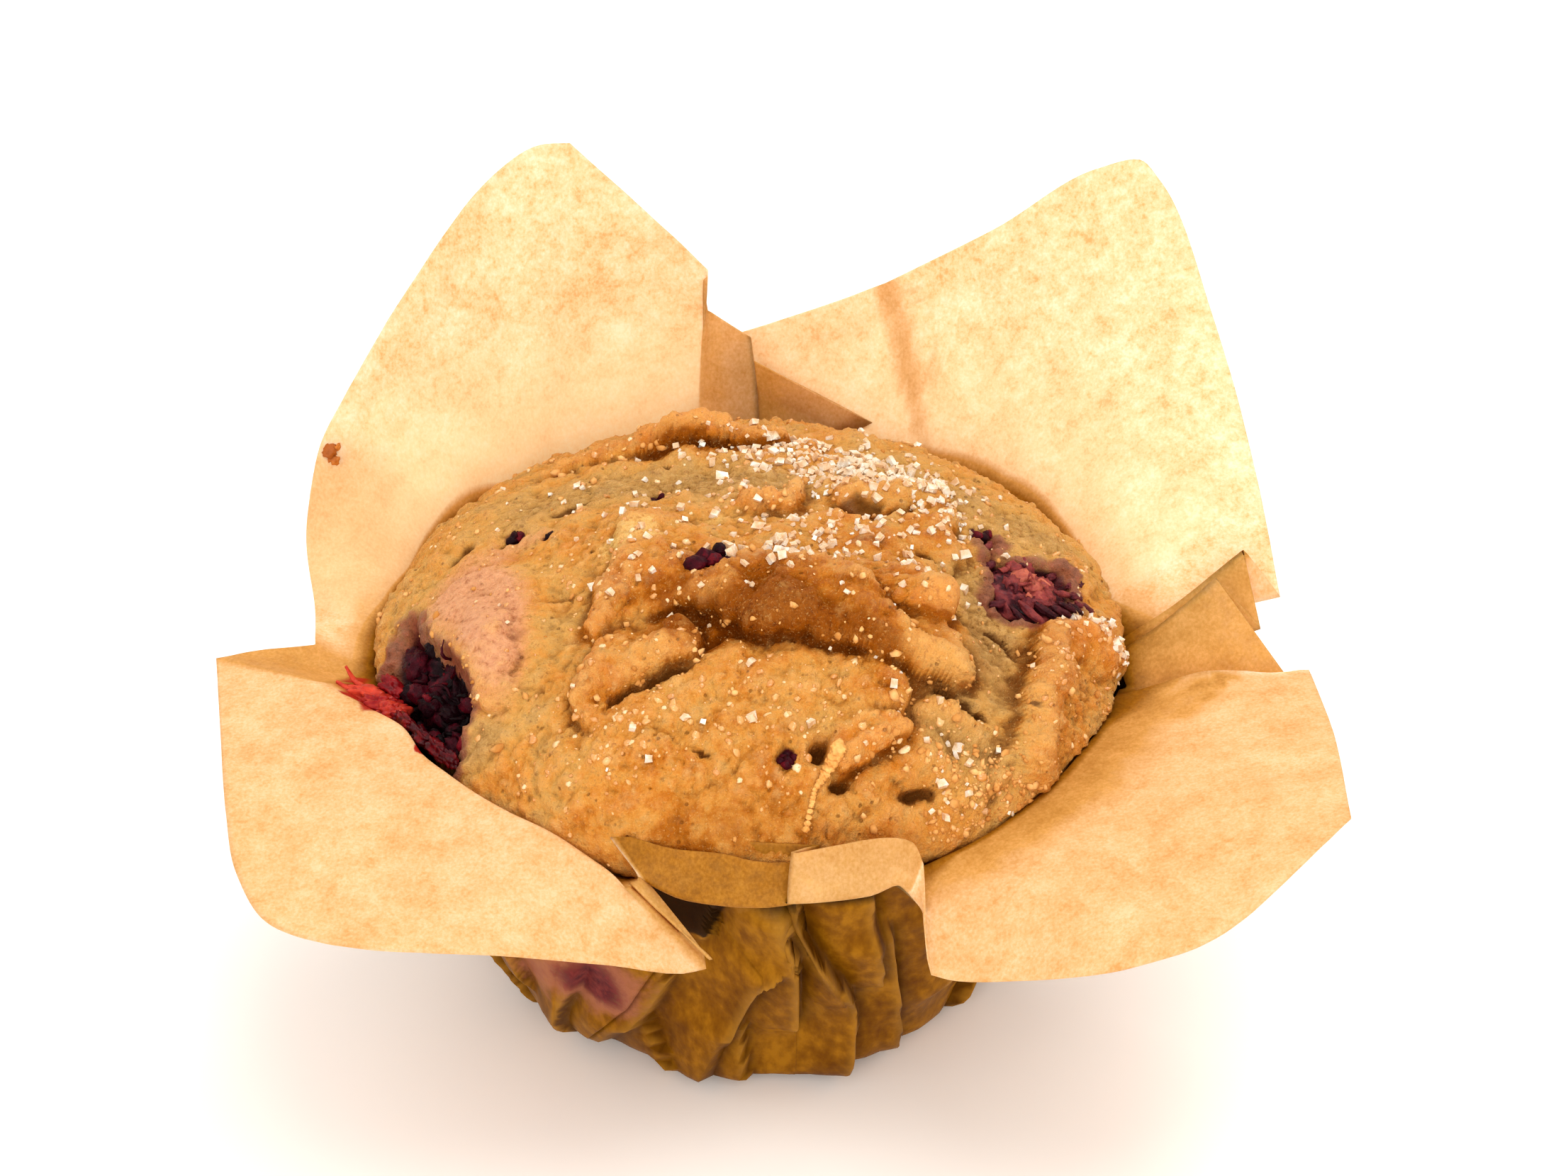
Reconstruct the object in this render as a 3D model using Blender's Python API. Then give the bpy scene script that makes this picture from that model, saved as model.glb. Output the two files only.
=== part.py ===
"""A berry muffin baked in a tulip case: a square of baking paper pressed round the cake, its four corners standing out as
petals and its four sides gathered into pleats between them. Metres, +Z up, origin at the middle of the flat base on the
table. The front, with the short gathered collar, faces -Y.

Nodes: muffin (the cake, body and crown in one piece), paper_case (the whole sheet), berry_left and berry_right (the two
whole berries that broke through the crown)."""

import math

import bmesh
import bpy
import numpy as np
from mathutils import Vector

MM = 0.001

# ---- driving sizes, in millimetres -------------------------------------------------------------------------------
SHEET_SIDE = 150.0  # the square that the case is pressed from
PAPER = 0.5  # wall of the case as a solid
WALL_SWELL = (212.0, 30.0, 1.8)  # the loose side of the wall: (middle azimuth, its spread in degrees, how far it stands off)
BASE_R = 26.5  # radius where the floor of the case turns up
BASE_ROUND = 2.2  # radius of that turn
GAP = 0.35  # clearance between the cake and the paper

CROWN_R = 39.3  # widest radius of the crown
CROWN_Z = 36.8  # height of that widest ring
CROWN_RISE = 16.9  # smooth dome above it, without the crust ridges
NECK_R = 35.6  # where the flank ends under the overhanging crown
NECK_Z = 31.5

MUFFIN_AROUND = 56
MUFFIN_RINGS = 17

# ---- the sheet: the ribs that shape it ----------------------------------------------------------------------------
# Each rib runs from the base edge up the wall to the rim, over a fold and out to the sheet's free edge. Angles are
# azimuths in degrees from +X. Each entry is
#   name: (base angle, (rim angle, r, z), (fold angle, r, z), (edge angle, r, z), how far the fold is rounded)
# in order round the case. Corner ribs end in a petal's tip; the others end in the gathers between two petals.
RIBS = [
    ("back_right_low", 11.0, (7.0, 41.3, 37.8), (7.0, 50.0, 39.8), (7.4, 58.4, 39.6), 6.0),
    ("back_right_tip", 45.0, (46.0, 41.2, 38.0), (46.0, 53.0, 52.0), (46.0, 65.0, 72.4), 22.0),
    ("back_right_crest", 70.0, (73.0, 41.3, 38.0), (73.0, 44.5, 45.0), (71.1, 47.6, 56.9), 8.0),
    ("back_gather_a", 78.0, (84.0, 41.4, 38.0), (87.0, 44.0, 43.0), (90.5, 46.5, 49.4), 5.0),
    ("back_gather_b", 90.0, (89.0, 40.9, 37.6), (89.5, 42.0, 43.0), (91.5, 43.8, 51.6), 5.0),
    ("back_left_low", 102.0, (96.0, 40.9, 37.6), (96.0, 42.2, 45.0), (95.9, 42.4, 61.2), 8.0),
    ("back_left_tip", 128.0, (128.0, 41.2, 38.0), (122.0, 44.5, 52.0), (115.5, 46.5, 77.2), 22.0),
    ("back_left_side", 150.0, (150.0, 41.2, 38.0), (147.0, 46.5, 48.0), (142.5, 47.6, 65.6), 16.0),
    ("left_gather_a", 168.0, (169.0, 41.2, 38.0), (167.0, 46.0, 39.6), (163.0, 51.2, 42.9), 6.0),
    ("left_gather_b", 180.0, (180.0, 40.9, 37.6), (180.5, 43.5, 39.4), (181.6, 46.5, 39.6), 4.0),
    ("front_left_high", 192.0, (189.0, 40.9, 38.0), (188.0, 44.6, 41.6), (185.0, 56.8, 40.0), 3.0),
    ("front_left_side", 206.0, (206.0, 41.2, 38.0), (206.0, 40.4, 42.0), (204.0, 58.2, 40.2), 2.5),
    ("front_left_tip", 225.0, (223.0, 41.3, 38.0), (223.0, 40.6, 41.8), (221.5, 65.2, 37.0), 2.5),
    ("front_left_low", 236.0, (236.0, 41.3, 37.6), (237.0, 41.4, 41.0), (234.0, 61.5, 37.4), 2.5),
    ("front_left_end", 250.0, (248.0, 40.8, 36.4), (252.0, 43.2, 38.4), (264.8, 44.4, 30.2), 2.5),
    ("collar_left", 257.0, (252.5, 38.4, 34.0), (254.0, 41.0, 37.2), (250.8, 41.2, 42.2), 2.0),
    ("collar_middle", 274.0, (274.0, 38.2, 33.4), (275.0, 41.7, 36.3), (275.0, 40.7, 41.8), 2.0),
    ("collar_right", 285.0, (287.0, 38.4, 33.8), (289.0, 41.9, 36.6), (292.0, 42.2, 42.0), 2.0),
    ("front_right_end", 291.0, (292.5, 40.4, 35.0), (292.5, 44.0, 34.5), (292.6, 48.6, 30.2), 3.0),
    ("front_right_low", 306.0, (306.0, 41.0, 36.6), (306.0, 48.0, 38.2), (307.5, 66.6, 40.4), 10.0),
    ("front_right_tip", 320.0, (320.0, 41.2, 37.2), (320.0, 50.0, 39.5), (326.4, 71.0, 45.0), 14.0),
    ("front_right_high", 342.0, (350.0, 41.2, 37.4), (350.5, 49.0, 38.8), (353.0, 59.8, 40.0), 8.0),
    ("right_gather_a", 350.0, (354.0, 41.0, 37.2), (355.5, 48.0, 37.6), (356.6, 57.0, 37.6), 4.0),
    ("right_gather_b", 356.0, (357.5, 41.2, 38.4), (360.5, 45.0, 41.6), (362.4, 50.8, 44.8), 3.0),
    ("right_gather_c", 361.0, (360.5, 41.0, 37.6), (362.5, 47.0, 39.0), (364.6, 55.4, 39.4), 3.0),
    ("right_gather_d", 366.0, (363.0, 41.2, 38.4), (364.6, 48.0, 42.4), (366.4, 54.4, 45.4), 3.0),
]

# How a long petal edge bows between two ribs: (from rib, to rib): (mm outward, mm up).
EDGE_BOWS = {
    ("back_right_low", "back_right_tip"): (3.0, -1.0),
    ("back_right_tip", "back_right_crest"): (0.0, 1.2),
    ("back_left_tip", "back_left_side"): (1.0, 4.0),
    ("back_left_side", "left_gather_a"): (2.0, 1.0),
    ("front_left_side", "front_left_tip"): (1.0, 0.5),
    ("front_left_tip", "front_left_low"): (2.0, 0.0),
    ("front_left_low", "front_left_end"): (1.0, 0.5),
    ("front_right_end", "front_right_low"): (1.2, -1.2),
    ("front_right_low", "front_right_tip"): (0.8, -0.2),
}

# The main folds of crust baked on the crown: (middle angle, radius from the axis, half length in degrees, width, height).
CRUST_FOLDS = [
    (268.0, 11.0, 62.0, 5.5, 2.2),
    (190.0, 20.0, 30.0, 5.0, 1.0),
    (350.0, 31.0, 26.0, 6.0, 1.4),
    (95.0, 22.0, 34.0, 5.0, 2.0),
    (30.0, 14.0, 30.0, 5.0, 1.0),
]

# The two berries: (angle, radius from the axis, height of the middle, radius across, half thickness).
BERRIES = {
    "berry_left": (206.0, 34.4, 41.4, 5.9, 4.6),
    "berry_right": (3.0, 30.2, 45.4, 6.2, 4.0),
}


def at(angle, r, z):
    a = math.radians(angle)
    return np.array((r * math.cos(a), r * math.sin(a), z))


def mixed(a, b, t):
    return tuple(x + (y - x) * t for x, y in zip(a, b))


def ribs_between(first, second, count, bow):
    """count ribs from first up to, and not with, second. Cylinder coordinates are mixed, so a rim follows its circle,
    and the sheet's free edge stays straight apart from its bow."""
    _, base1, rim1, fold1, edge1, round1 = first
    _, base2, rim2, fold2, edge2, round2 = second
    e1, e2 = at(*edge1), at(*edge2)
    for i in range(count):
        t = i / count
        edge = e1 + (e2 - e1) * t
        out = np.array((edge[0], edge[1], 0.0))
        out /= np.linalg.norm(out)
        arch = 4 * t * (1 - t)
        edge = edge + out * bow[0] * arch + np.array((0, 0, 1.0)) * bow[1] * arch
        yield (
            base1 + (base2 - base1) * t,
            mixed(rim1, rim2, t),
            mixed(fold1, fold2, t),
            edge,
            round1 + (round2 - round1) * t,
        )


def rounded_corner(a, corner, b, cut, steps):
    """Points from a to b along straight lines that meet at corner, the corner itself rounded."""
    la, lb = np.linalg.norm(a - corner), np.linalg.norm(b - corner)
    cut = min(cut, 0.9 * la, 0.6 * lb)
    p, q = corner + (a - corner) * cut / la, corner + (b - corner) * cut / lb
    points = [a]
    for i in range(steps + 1):
        t = i / steps
        points.append(p * (1 - t) ** 2 + corner * 2 * t * (1 - t) + q * t * t)
    return points, q


def rib_points(base, rim, fold, edge):
    """The rib as points in mm, from near the middle of the floor to the sheet's free edge, on the paper's mid line."""
    half = PAPER / 2
    flat, points = BASE_R - BASE_ROUND, []
    for share in (0.5, 1.0):
        points.append(at(base, flat * share, half))
    for step in (1, 2):
        turn = math.radians(34) * step
        points.append(at(base, flat + BASE_ROUND * math.sin(turn), half + BASE_ROUND * (1 - math.cos(turn))))
    foot = (base, flat + BASE_ROUND * math.sin(math.radians(68)), half + BASE_ROUND * (1 - math.cos(math.radians(68))))
    middle, spread, off = WALL_SWELL
    for step in range(1, 6):
        angle, r, z = mixed(foot, rim, step / 6)
        swell = off * math.exp(-(((angle - middle) / spread) ** 2)) * math.sin(math.pi * step / 6)
        points.append(at(angle, r + swell, z))
    outer, last = rounded_corner(at(*rim), at(*fold[0]), edge, fold[1], 3)
    points += outer
    for step in range(1, 6):
        points.append(last + (edge - last) * step / 5)
    return points


def sheet():
    """The mid surface of the paper: a list of ribs, each a list of points in mm."""
    made = []
    for i, first in enumerate(RIBS):
        second = RIBS[(i + 1) % len(RIBS)]
        if i + 1 == len(RIBS):
            name, base, rim, fold, edge, cut = second
            turned = [(a + 360.0, r, z) for a, r, z in (rim, fold, edge)]
            second = (name, base + 360.0, *turned, cut)
        bow = EDGE_BOWS.get((first[0], second[0]), (0.0, 0.0))
        span = np.linalg.norm(at(*first[4]) - at(*second[4]))
        count = max(1, round(span / 7.5))
        for base, rim, fold, edge, cut in ribs_between(first, second, count, bow):
            made.append(rib_points(base, rim, (fold, cut), edge))
    return made


def object_of(name, bm, colour, rough, location=(0, 0, 0)):
    mesh = bpy.data.meshes.new(name)
    bmesh.ops.recalc_face_normals(bm, faces=bm.faces)
    bm.to_mesh(mesh)
    bm.free()
    mesh.shade_smooth()
    mesh.set_sharp_from_angle(angle=math.radians(40))
    obj = bpy.data.objects.new(name, mesh)
    obj.location = location
    bpy.context.scene.collection.objects.link(obj)
    material = bpy.data.materials.new(name)
    material.use_nodes = True
    shader = material.node_tree.nodes["Principled BSDF"]
    shader.inputs["Base Color"].default_value = (*colour, 1.0)
    shader.inputs["Roughness"].default_value = rough
    shader.inputs["Metallic"].default_value = 0.0
    mesh.materials.append(material)
    return obj


def grid_faces(bm, rows, closed=True):
    """Quads between neighbouring rows of vertices; rows run round the object, each row from the inside out."""
    count = len(rows)
    for i in range(count if closed else count - 1):
        a, b = rows[i], rows[(i + 1) % count]
        for k in range(len(a) - 1):
            bm.faces.new((a[k], a[k + 1], b[k + 1], b[k]))


def make_paper_case():
    bm = bmesh.new()
    middle = bm.verts.new(Vector((0, 0, PAPER / 2)) * MM)
    rows = [[bm.verts.new(Vector(p) * MM) for p in rib] for rib in sheet()]
    grid_faces(bm, rows)
    for i, row in enumerate(rows):
        bm.faces.new((middle, row[0], rows[(i + 1) % len(rows)][0]))
    obj = object_of("paper_case", bm, (0.80, 0.56, 0.28), 0.6)
    thick = obj.modifiers.new("Paper", "SOLIDIFY")
    thick.thickness = PAPER * MM
    thick.offset = 0.0
    thick.use_even_offset = False
    return obj


def crust_height(angle, rho):
    """Height in mm that the baked crust stands above the smooth dome, for a point at this angle and radius."""
    height = 0.0
    for middle, radius, half, width, high in CRUST_FOLDS:
        turn = (angle - middle + 180.0) % 360.0 - 180.0
        along = max(0.0, 1.0 - (turn / half) ** 2)
        across = (rho - radius - 0.03 * turn) / width
        height = max(height, high * along * math.exp(-across * across))
    swell = 0.35 * math.sin(math.radians(3 * angle + 40)) + 0.25 * math.sin(math.radians(7 * angle))
    return height + swell * min(1.0, rho / 25.0)


def muffin_profile():
    """(r, z, share of crust relief) from under the middle of the base to the crown's top, in mm."""
    floor = PAPER + GAP
    foot = BASE_R - PAPER - 1.1
    points = [(foot * 0.55, floor, 0.0), (foot - 1.6, floor, 0.0), (foot, floor + 1.8, 0.0)]
    for step in (1, 2, 3):
        t = step / 4
        points.append((foot + (NECK_R - foot) * t, floor + 1.8 + (NECK_Z - floor - 1.8) * t, 0.0))
    points += [(NECK_R, NECK_Z, 0.0), (CROWN_R - 1.2, CROWN_Z - 2.6, 0.0), (CROWN_R, CROWN_Z, 0.0)]
    for step in range(1, MUFFIN_RINGS - 8):
        turn = math.radians(90.0) * step / (MUFFIN_RINGS - 8)
        share = min(1.0, step / 2.0)
        points.append((CROWN_R * math.cos(turn), CROWN_Z + CROWN_RISE * math.sin(turn), share))
    return points


def make_muffin():
    bm = bmesh.new()
    profile = muffin_profile()
    bottom = bm.verts.new(Vector((0, 0, PAPER + GAP)) * MM)
    top = bm.verts.new(Vector((0, 0, CROWN_Z + CROWN_RISE + crust_height(268.0, 0.0))) * MM)
    rows = []
    for i in range(MUFFIN_AROUND):
        angle = 360.0 * i / MUFFIN_AROUND
        row = []
        for r, z, share in profile:
            lift = share * crust_height(angle, r)
            row.append(bm.verts.new(Vector(at(angle, r + 0.25 * lift, z + lift)) * MM))
        rows.append(row)
    grid_faces(bm, rows)
    for i, row in enumerate(rows):
        after = rows[(i + 1) % len(rows)]
        bm.faces.new((bottom, row[0], after[0]))
        bm.faces.new((top, row[-1], after[-1]))
    return object_of("muffin", bm, (0.62, 0.34, 0.12), 0.75)


def berry_mesh(name, radius, half, grow=0.0):
    """A soft flattened berry of drupelets, its short axis along local Z."""
    bm = bmesh.new()
    bmesh.ops.create_icosphere(bm, subdivisions=3, radius=1.0)
    for vert in bm.verts:
        x, y, z = vert.co
        bump = 1.0 + (0.05 * math.sin(5 * math.atan2(y, x)) * (1 - z * z) if not grow else 0.0)
        vert.co = Vector((x * (radius * bump + grow), y * (radius * bump + grow), z * (half + grow))) * MM
    return bm


def berry_pose(angle, r, z):
    """Where a berry sits, and the turn that stands its short axis on the crown's surface."""
    place = Vector(at(angle, r, z)) * MM
    slope = Vector(at(angle, r / CROWN_R**2, max(1.0, z - CROWN_Z) / CROWN_RISE**2))
    return place, slope.to_track_quat("Z", "Y").to_euler()


def make_berries(muffin):
    for name, (angle, r, z, radius, half) in BERRIES.items():
        place, turn = berry_pose(angle, r, z)
        berry = object_of(name, berry_mesh(name, radius, half), (0.16, 0.01, 0.03), 0.3, place)
        berry.rotation_euler = turn
        pocket = object_of(name + "_pocket", berry_mesh(name, radius * 1.05, half, GAP), (0.3, 0.1, 0.1), 0.8, place)
        pocket.rotation_euler = turn
        pocket.hide_render = True
        pocket.display_type = "WIRE"
        cut = muffin.modifiers.new(name + "_pocket", "BOOLEAN")
        cut.operation = "DIFFERENCE"
        cut.solver = "EXACT"
        cut.object = pocket


for old in list(bpy.data.objects):
    bpy.data.objects.remove(old, do_unlink=True)
make_paper_case()
make_berries(make_muffin())
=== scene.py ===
"""The looks of a berry muffin in its tulip paper case. Everything is in the model's own frame; the shapes below are
worked out in millimetres and written to the meshes in metres."""

import math
import bpy
import numpy as np
from mathutils.bvhtree import BVHTree
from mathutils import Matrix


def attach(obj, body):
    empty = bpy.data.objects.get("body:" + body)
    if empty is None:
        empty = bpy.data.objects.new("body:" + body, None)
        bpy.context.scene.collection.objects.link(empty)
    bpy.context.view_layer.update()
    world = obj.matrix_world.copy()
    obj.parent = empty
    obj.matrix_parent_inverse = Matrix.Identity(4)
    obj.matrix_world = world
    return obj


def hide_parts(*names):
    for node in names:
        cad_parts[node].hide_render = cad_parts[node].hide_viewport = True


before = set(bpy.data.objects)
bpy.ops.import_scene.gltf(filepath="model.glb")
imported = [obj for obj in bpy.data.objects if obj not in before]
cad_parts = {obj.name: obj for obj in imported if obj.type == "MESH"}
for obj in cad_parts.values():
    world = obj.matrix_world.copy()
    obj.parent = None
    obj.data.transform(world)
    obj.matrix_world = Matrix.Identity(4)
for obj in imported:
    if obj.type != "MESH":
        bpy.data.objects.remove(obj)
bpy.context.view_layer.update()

MM = 0.001
scene = bpy.context.scene

# ================================================================ noise and small helpers


def lattice(ix, iy, iz, seed):
    h = (ix * 374761393 + iy * 668265263 + iz * 1442695041 + seed * 974634777) & 0xFFFFFFFF
    h = ((h ^ (h >> 13)) * 1274126177) & 0xFFFFFFFF
    h = ((h ^ (h >> 15)) * 2246822519) & 0xFFFFFFFF
    return h ^ (h >> 16)


def noise(p, scale, seed=0):
    """Gradient noise of the points p (n, 3) in mm, about -1 to 1, with features about scale mm across."""
    p = np.asarray(p, float) / scale + 131.7
    i = np.floor(p).astype(np.int64)
    f = p - i
    u = f * f * f * (f * (f * 6 - 15) + 10)
    total = np.zeros(len(p))
    for dx in (0, 1):
        for dy in (0, 1):
            for dz in (0, 1):
                h = lattice(i[:, 0] + dx, i[:, 1] + dy, i[:, 2] + dz, seed)
                gx = (h & 1023) / 511.5 - 1
                gy = ((h >> 10) & 1023) / 511.5 - 1
                gz = ((h >> 20) & 1023) / 511.5 - 1
                d = gx * (f[:, 0] - dx) + gy * (f[:, 1] - dy) + gz * (f[:, 2] - dz)
                w = (
                    (u[:, 0] if dx else 1 - u[:, 0])
                    * (u[:, 1] if dy else 1 - u[:, 1])
                    * (u[:, 2] if dz else 1 - u[:, 2])
                )
                total += w * d
    return total * 1.5


def fbm(p, scale, octaves, seed=0, gain=0.5):
    total, amp, norm = np.zeros(len(p)), 1.0, 0.0
    for k in range(octaves):
        total += amp * noise(p, scale / 2**k, seed + 17 * k)
        norm += amp
        amp *= gain
    return total / norm


def cells(p, scale, seed=0):
    """(distance to the nearest cell's middle, that cell's own random number 0 to 1), distance in cells."""
    p = np.asarray(p, float) / scale + 57.3
    i = np.floor(p).astype(np.int64)
    best, own = np.full(len(p), 9.0), np.zeros(len(p))
    for dx in (-1, 0, 1):
        for dy in (-1, 0, 1):
            for dz in (-1, 0, 1):
                c = i + (dx, dy, dz)
                h = lattice(c[:, 0], c[:, 1], c[:, 2], seed)
                spot = c + np.stack([(h & 1023), (h >> 10) & 1023, (h >> 20) & 1023], 1) / 1023.0
                d = np.linalg.norm(p - spot, axis=1)
                near = d < best
                best = np.where(near, d, best)
                own = np.where(near, ((h >> 5) & 4095) / 4095.0, own)
    return best, own


def smooth(a, b, x):
    t = np.clip((x - a) / (b - a), 0, 1)
    return t * t * (3 - 2 * t)


def mix(a, b, t):
    return a + (b - a) * t


def build(name, points, faces, colours=(), smooth_shade=True):
    """A mesh object from points in mm, an (n, 3 or 4) array of faces or a list of such arrays, and point attributes."""
    faces = faces if isinstance(faces, list) else [faces]
    mesh = bpy.data.meshes.new(name)
    points = np.asarray(points, np.float64) * MM
    loops = np.concatenate([f.reshape(-1) for f in faces]).astype(np.int32)
    sizes = np.concatenate([np.full(len(f), f.shape[1], np.int32) for f in faces])
    starts = np.concatenate([[0], np.cumsum(sizes)[:-1]]).astype(np.int32)
    mesh.vertices.add(len(points))
    mesh.vertices.foreach_set("co", points.astype(np.float32).reshape(-1))
    mesh.loops.add(len(loops))
    mesh.loops.foreach_set("vertex_index", loops)
    mesh.polygons.add(len(sizes))
    mesh.polygons.foreach_set("loop_start", starts)
    mesh.update(calc_edges=True)
    mesh.polygons.foreach_set("use_smooth", np.full(len(sizes), bool(smooth_shade)))
    for key, values in dict(colours).items():
        data = mesh.attributes.new(key, "FLOAT", "POINT").data
        data.foreach_set("value", np.asarray(values, np.float32))
    mesh.update()
    piece = bpy.data.objects.new(name, mesh)
    scene.collection.objects.link(piece)
    return piece


def linear(r, g, b):
    return tuple(((c / 255 + 0.055) / 1.055) ** 2.4 if c > 10 else c / 255 / 12.92 for c in (r, g, b)) + (1.0,)


class Nodes:
    """A short way to write a node tree."""

    def __init__(self, name):
        self.material = bpy.data.materials.new(name)
        self.material.use_nodes = True
        self.tree = self.material.node_tree
        self.tree.nodes.clear()
        self.out = self.tree.nodes.new("ShaderNodeOutputMaterial")
        coords = self.tree.nodes.new("ShaderNodeTexCoord")
        self.place = coords.outputs["Object"]

    def put(self, socket, value):
        if isinstance(value, bpy.types.NodeSocket):
            self.tree.links.new(value, socket)
        elif value is not None:
            socket.default_value = value

    def attribute(self, name):
        node = self.tree.nodes.new("ShaderNodeAttribute")
        node.attribute_name = name
        return node.outputs["Fac"]

    def noise(self, scale_mm, detail=3.0, rough=0.5, distortion=0.0, stretch=None):
        node = self.tree.nodes.new("ShaderNodeTexNoise")
        place = self.place
        if stretch:
            mapping = self.tree.nodes.new("ShaderNodeMapping")
            self.put(mapping.inputs["Vector"], place)
            mapping.inputs["Scale"].default_value = stretch
            place = mapping.outputs["Vector"]
        self.put(node.inputs["Vector"], place)
        node.inputs["Scale"].default_value = 1.0 / (scale_mm * MM)
        node.inputs["Detail"].default_value = detail
        node.inputs["Roughness"].default_value = rough
        node.inputs["Distortion"].default_value = distortion
        return node.outputs["Fac"]

    def cells(self, scale_mm, feature="F1", smoothness=None):
        node = self.tree.nodes.new("ShaderNodeTexVoronoi")
        node.feature = feature
        self.put(node.inputs["Vector"], self.place)
        node.inputs["Scale"].default_value = 1.0 / (scale_mm * MM)
        return node.outputs["Distance"]

    def math(self, kind, a, b=None, c=None, clamp=False):
        node = self.tree.nodes.new("ShaderNodeMath")
        node.operation = kind
        node.use_clamp = clamp
        for socket, value in zip(node.inputs, (a, b, c)):
            self.put(socket, value)
        return node.outputs[0]

    def ramp(self, fac, stops):
        node = self.tree.nodes.new("ShaderNodeValToRGB")
        ramp = node.color_ramp
        while len(ramp.elements) < len(stops):
            ramp.elements.new(0.5)
        for element, (at, value) in zip(ramp.elements, stops):
            element.position = at
            element.color = value if isinstance(value, tuple) else (value, value, value, 1)
        self.put(node.inputs["Fac"], fac)
        return node.outputs["Color"]

    def range(self, value, a, b, low=0.0, high=1.0):
        node = self.tree.nodes.new("ShaderNodeMapRange")
        node.interpolation_type = "SMOOTHSTEP"
        for key, number in (("From Min", a), ("From Max", b), ("To Min", low), ("To Max", high)):
            node.inputs[key].default_value = number
        self.put(node.inputs["Value"], value)
        return node.outputs["Result"]

    def mix(self, fac, a, b, kind="MIX"):
        node = self.tree.nodes.new("ShaderNodeMix")
        node.data_type = "RGBA"
        node.blend_type = kind
        self.put(node.inputs["Factor"], fac)
        self.put(node.inputs[6], a)
        self.put(node.inputs[7], b)
        return node.outputs[2]

    def bump(self, height, distance_mm, strength=1.0, after=None):
        node = self.tree.nodes.new("ShaderNodeBump")
        node.inputs["Strength"].default_value = strength
        node.inputs["Distance"].default_value = distance_mm * MM
        self.put(node.inputs["Height"], height)
        if after is not None:
            self.put(node.inputs["Normal"], after)
        return node.outputs["Normal"]

    def shader(self, **values):
        node = self.tree.nodes.new("ShaderNodeBsdfPrincipled")
        for key, value in values.items():
            self.put(node.inputs[key.replace("_", " ")], value)
        return node.outputs["BSDF"]

    def finish(self, shader):
        self.put(self.out.inputs["Surface"], shader)
        return self.material


# ================================================================ the paper case

SHEET = 0.14  # how thick the paper is drawn, in mm
BASE_R, BASE_ROUND = 26.5, 2.2
RIM = (41.2, 37.8)


def cyl(angle, r, z):
    a = np.radians(angle)
    return np.stack([r * np.cos(a), r * np.sin(a), z + 0 * a], -1)


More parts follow.
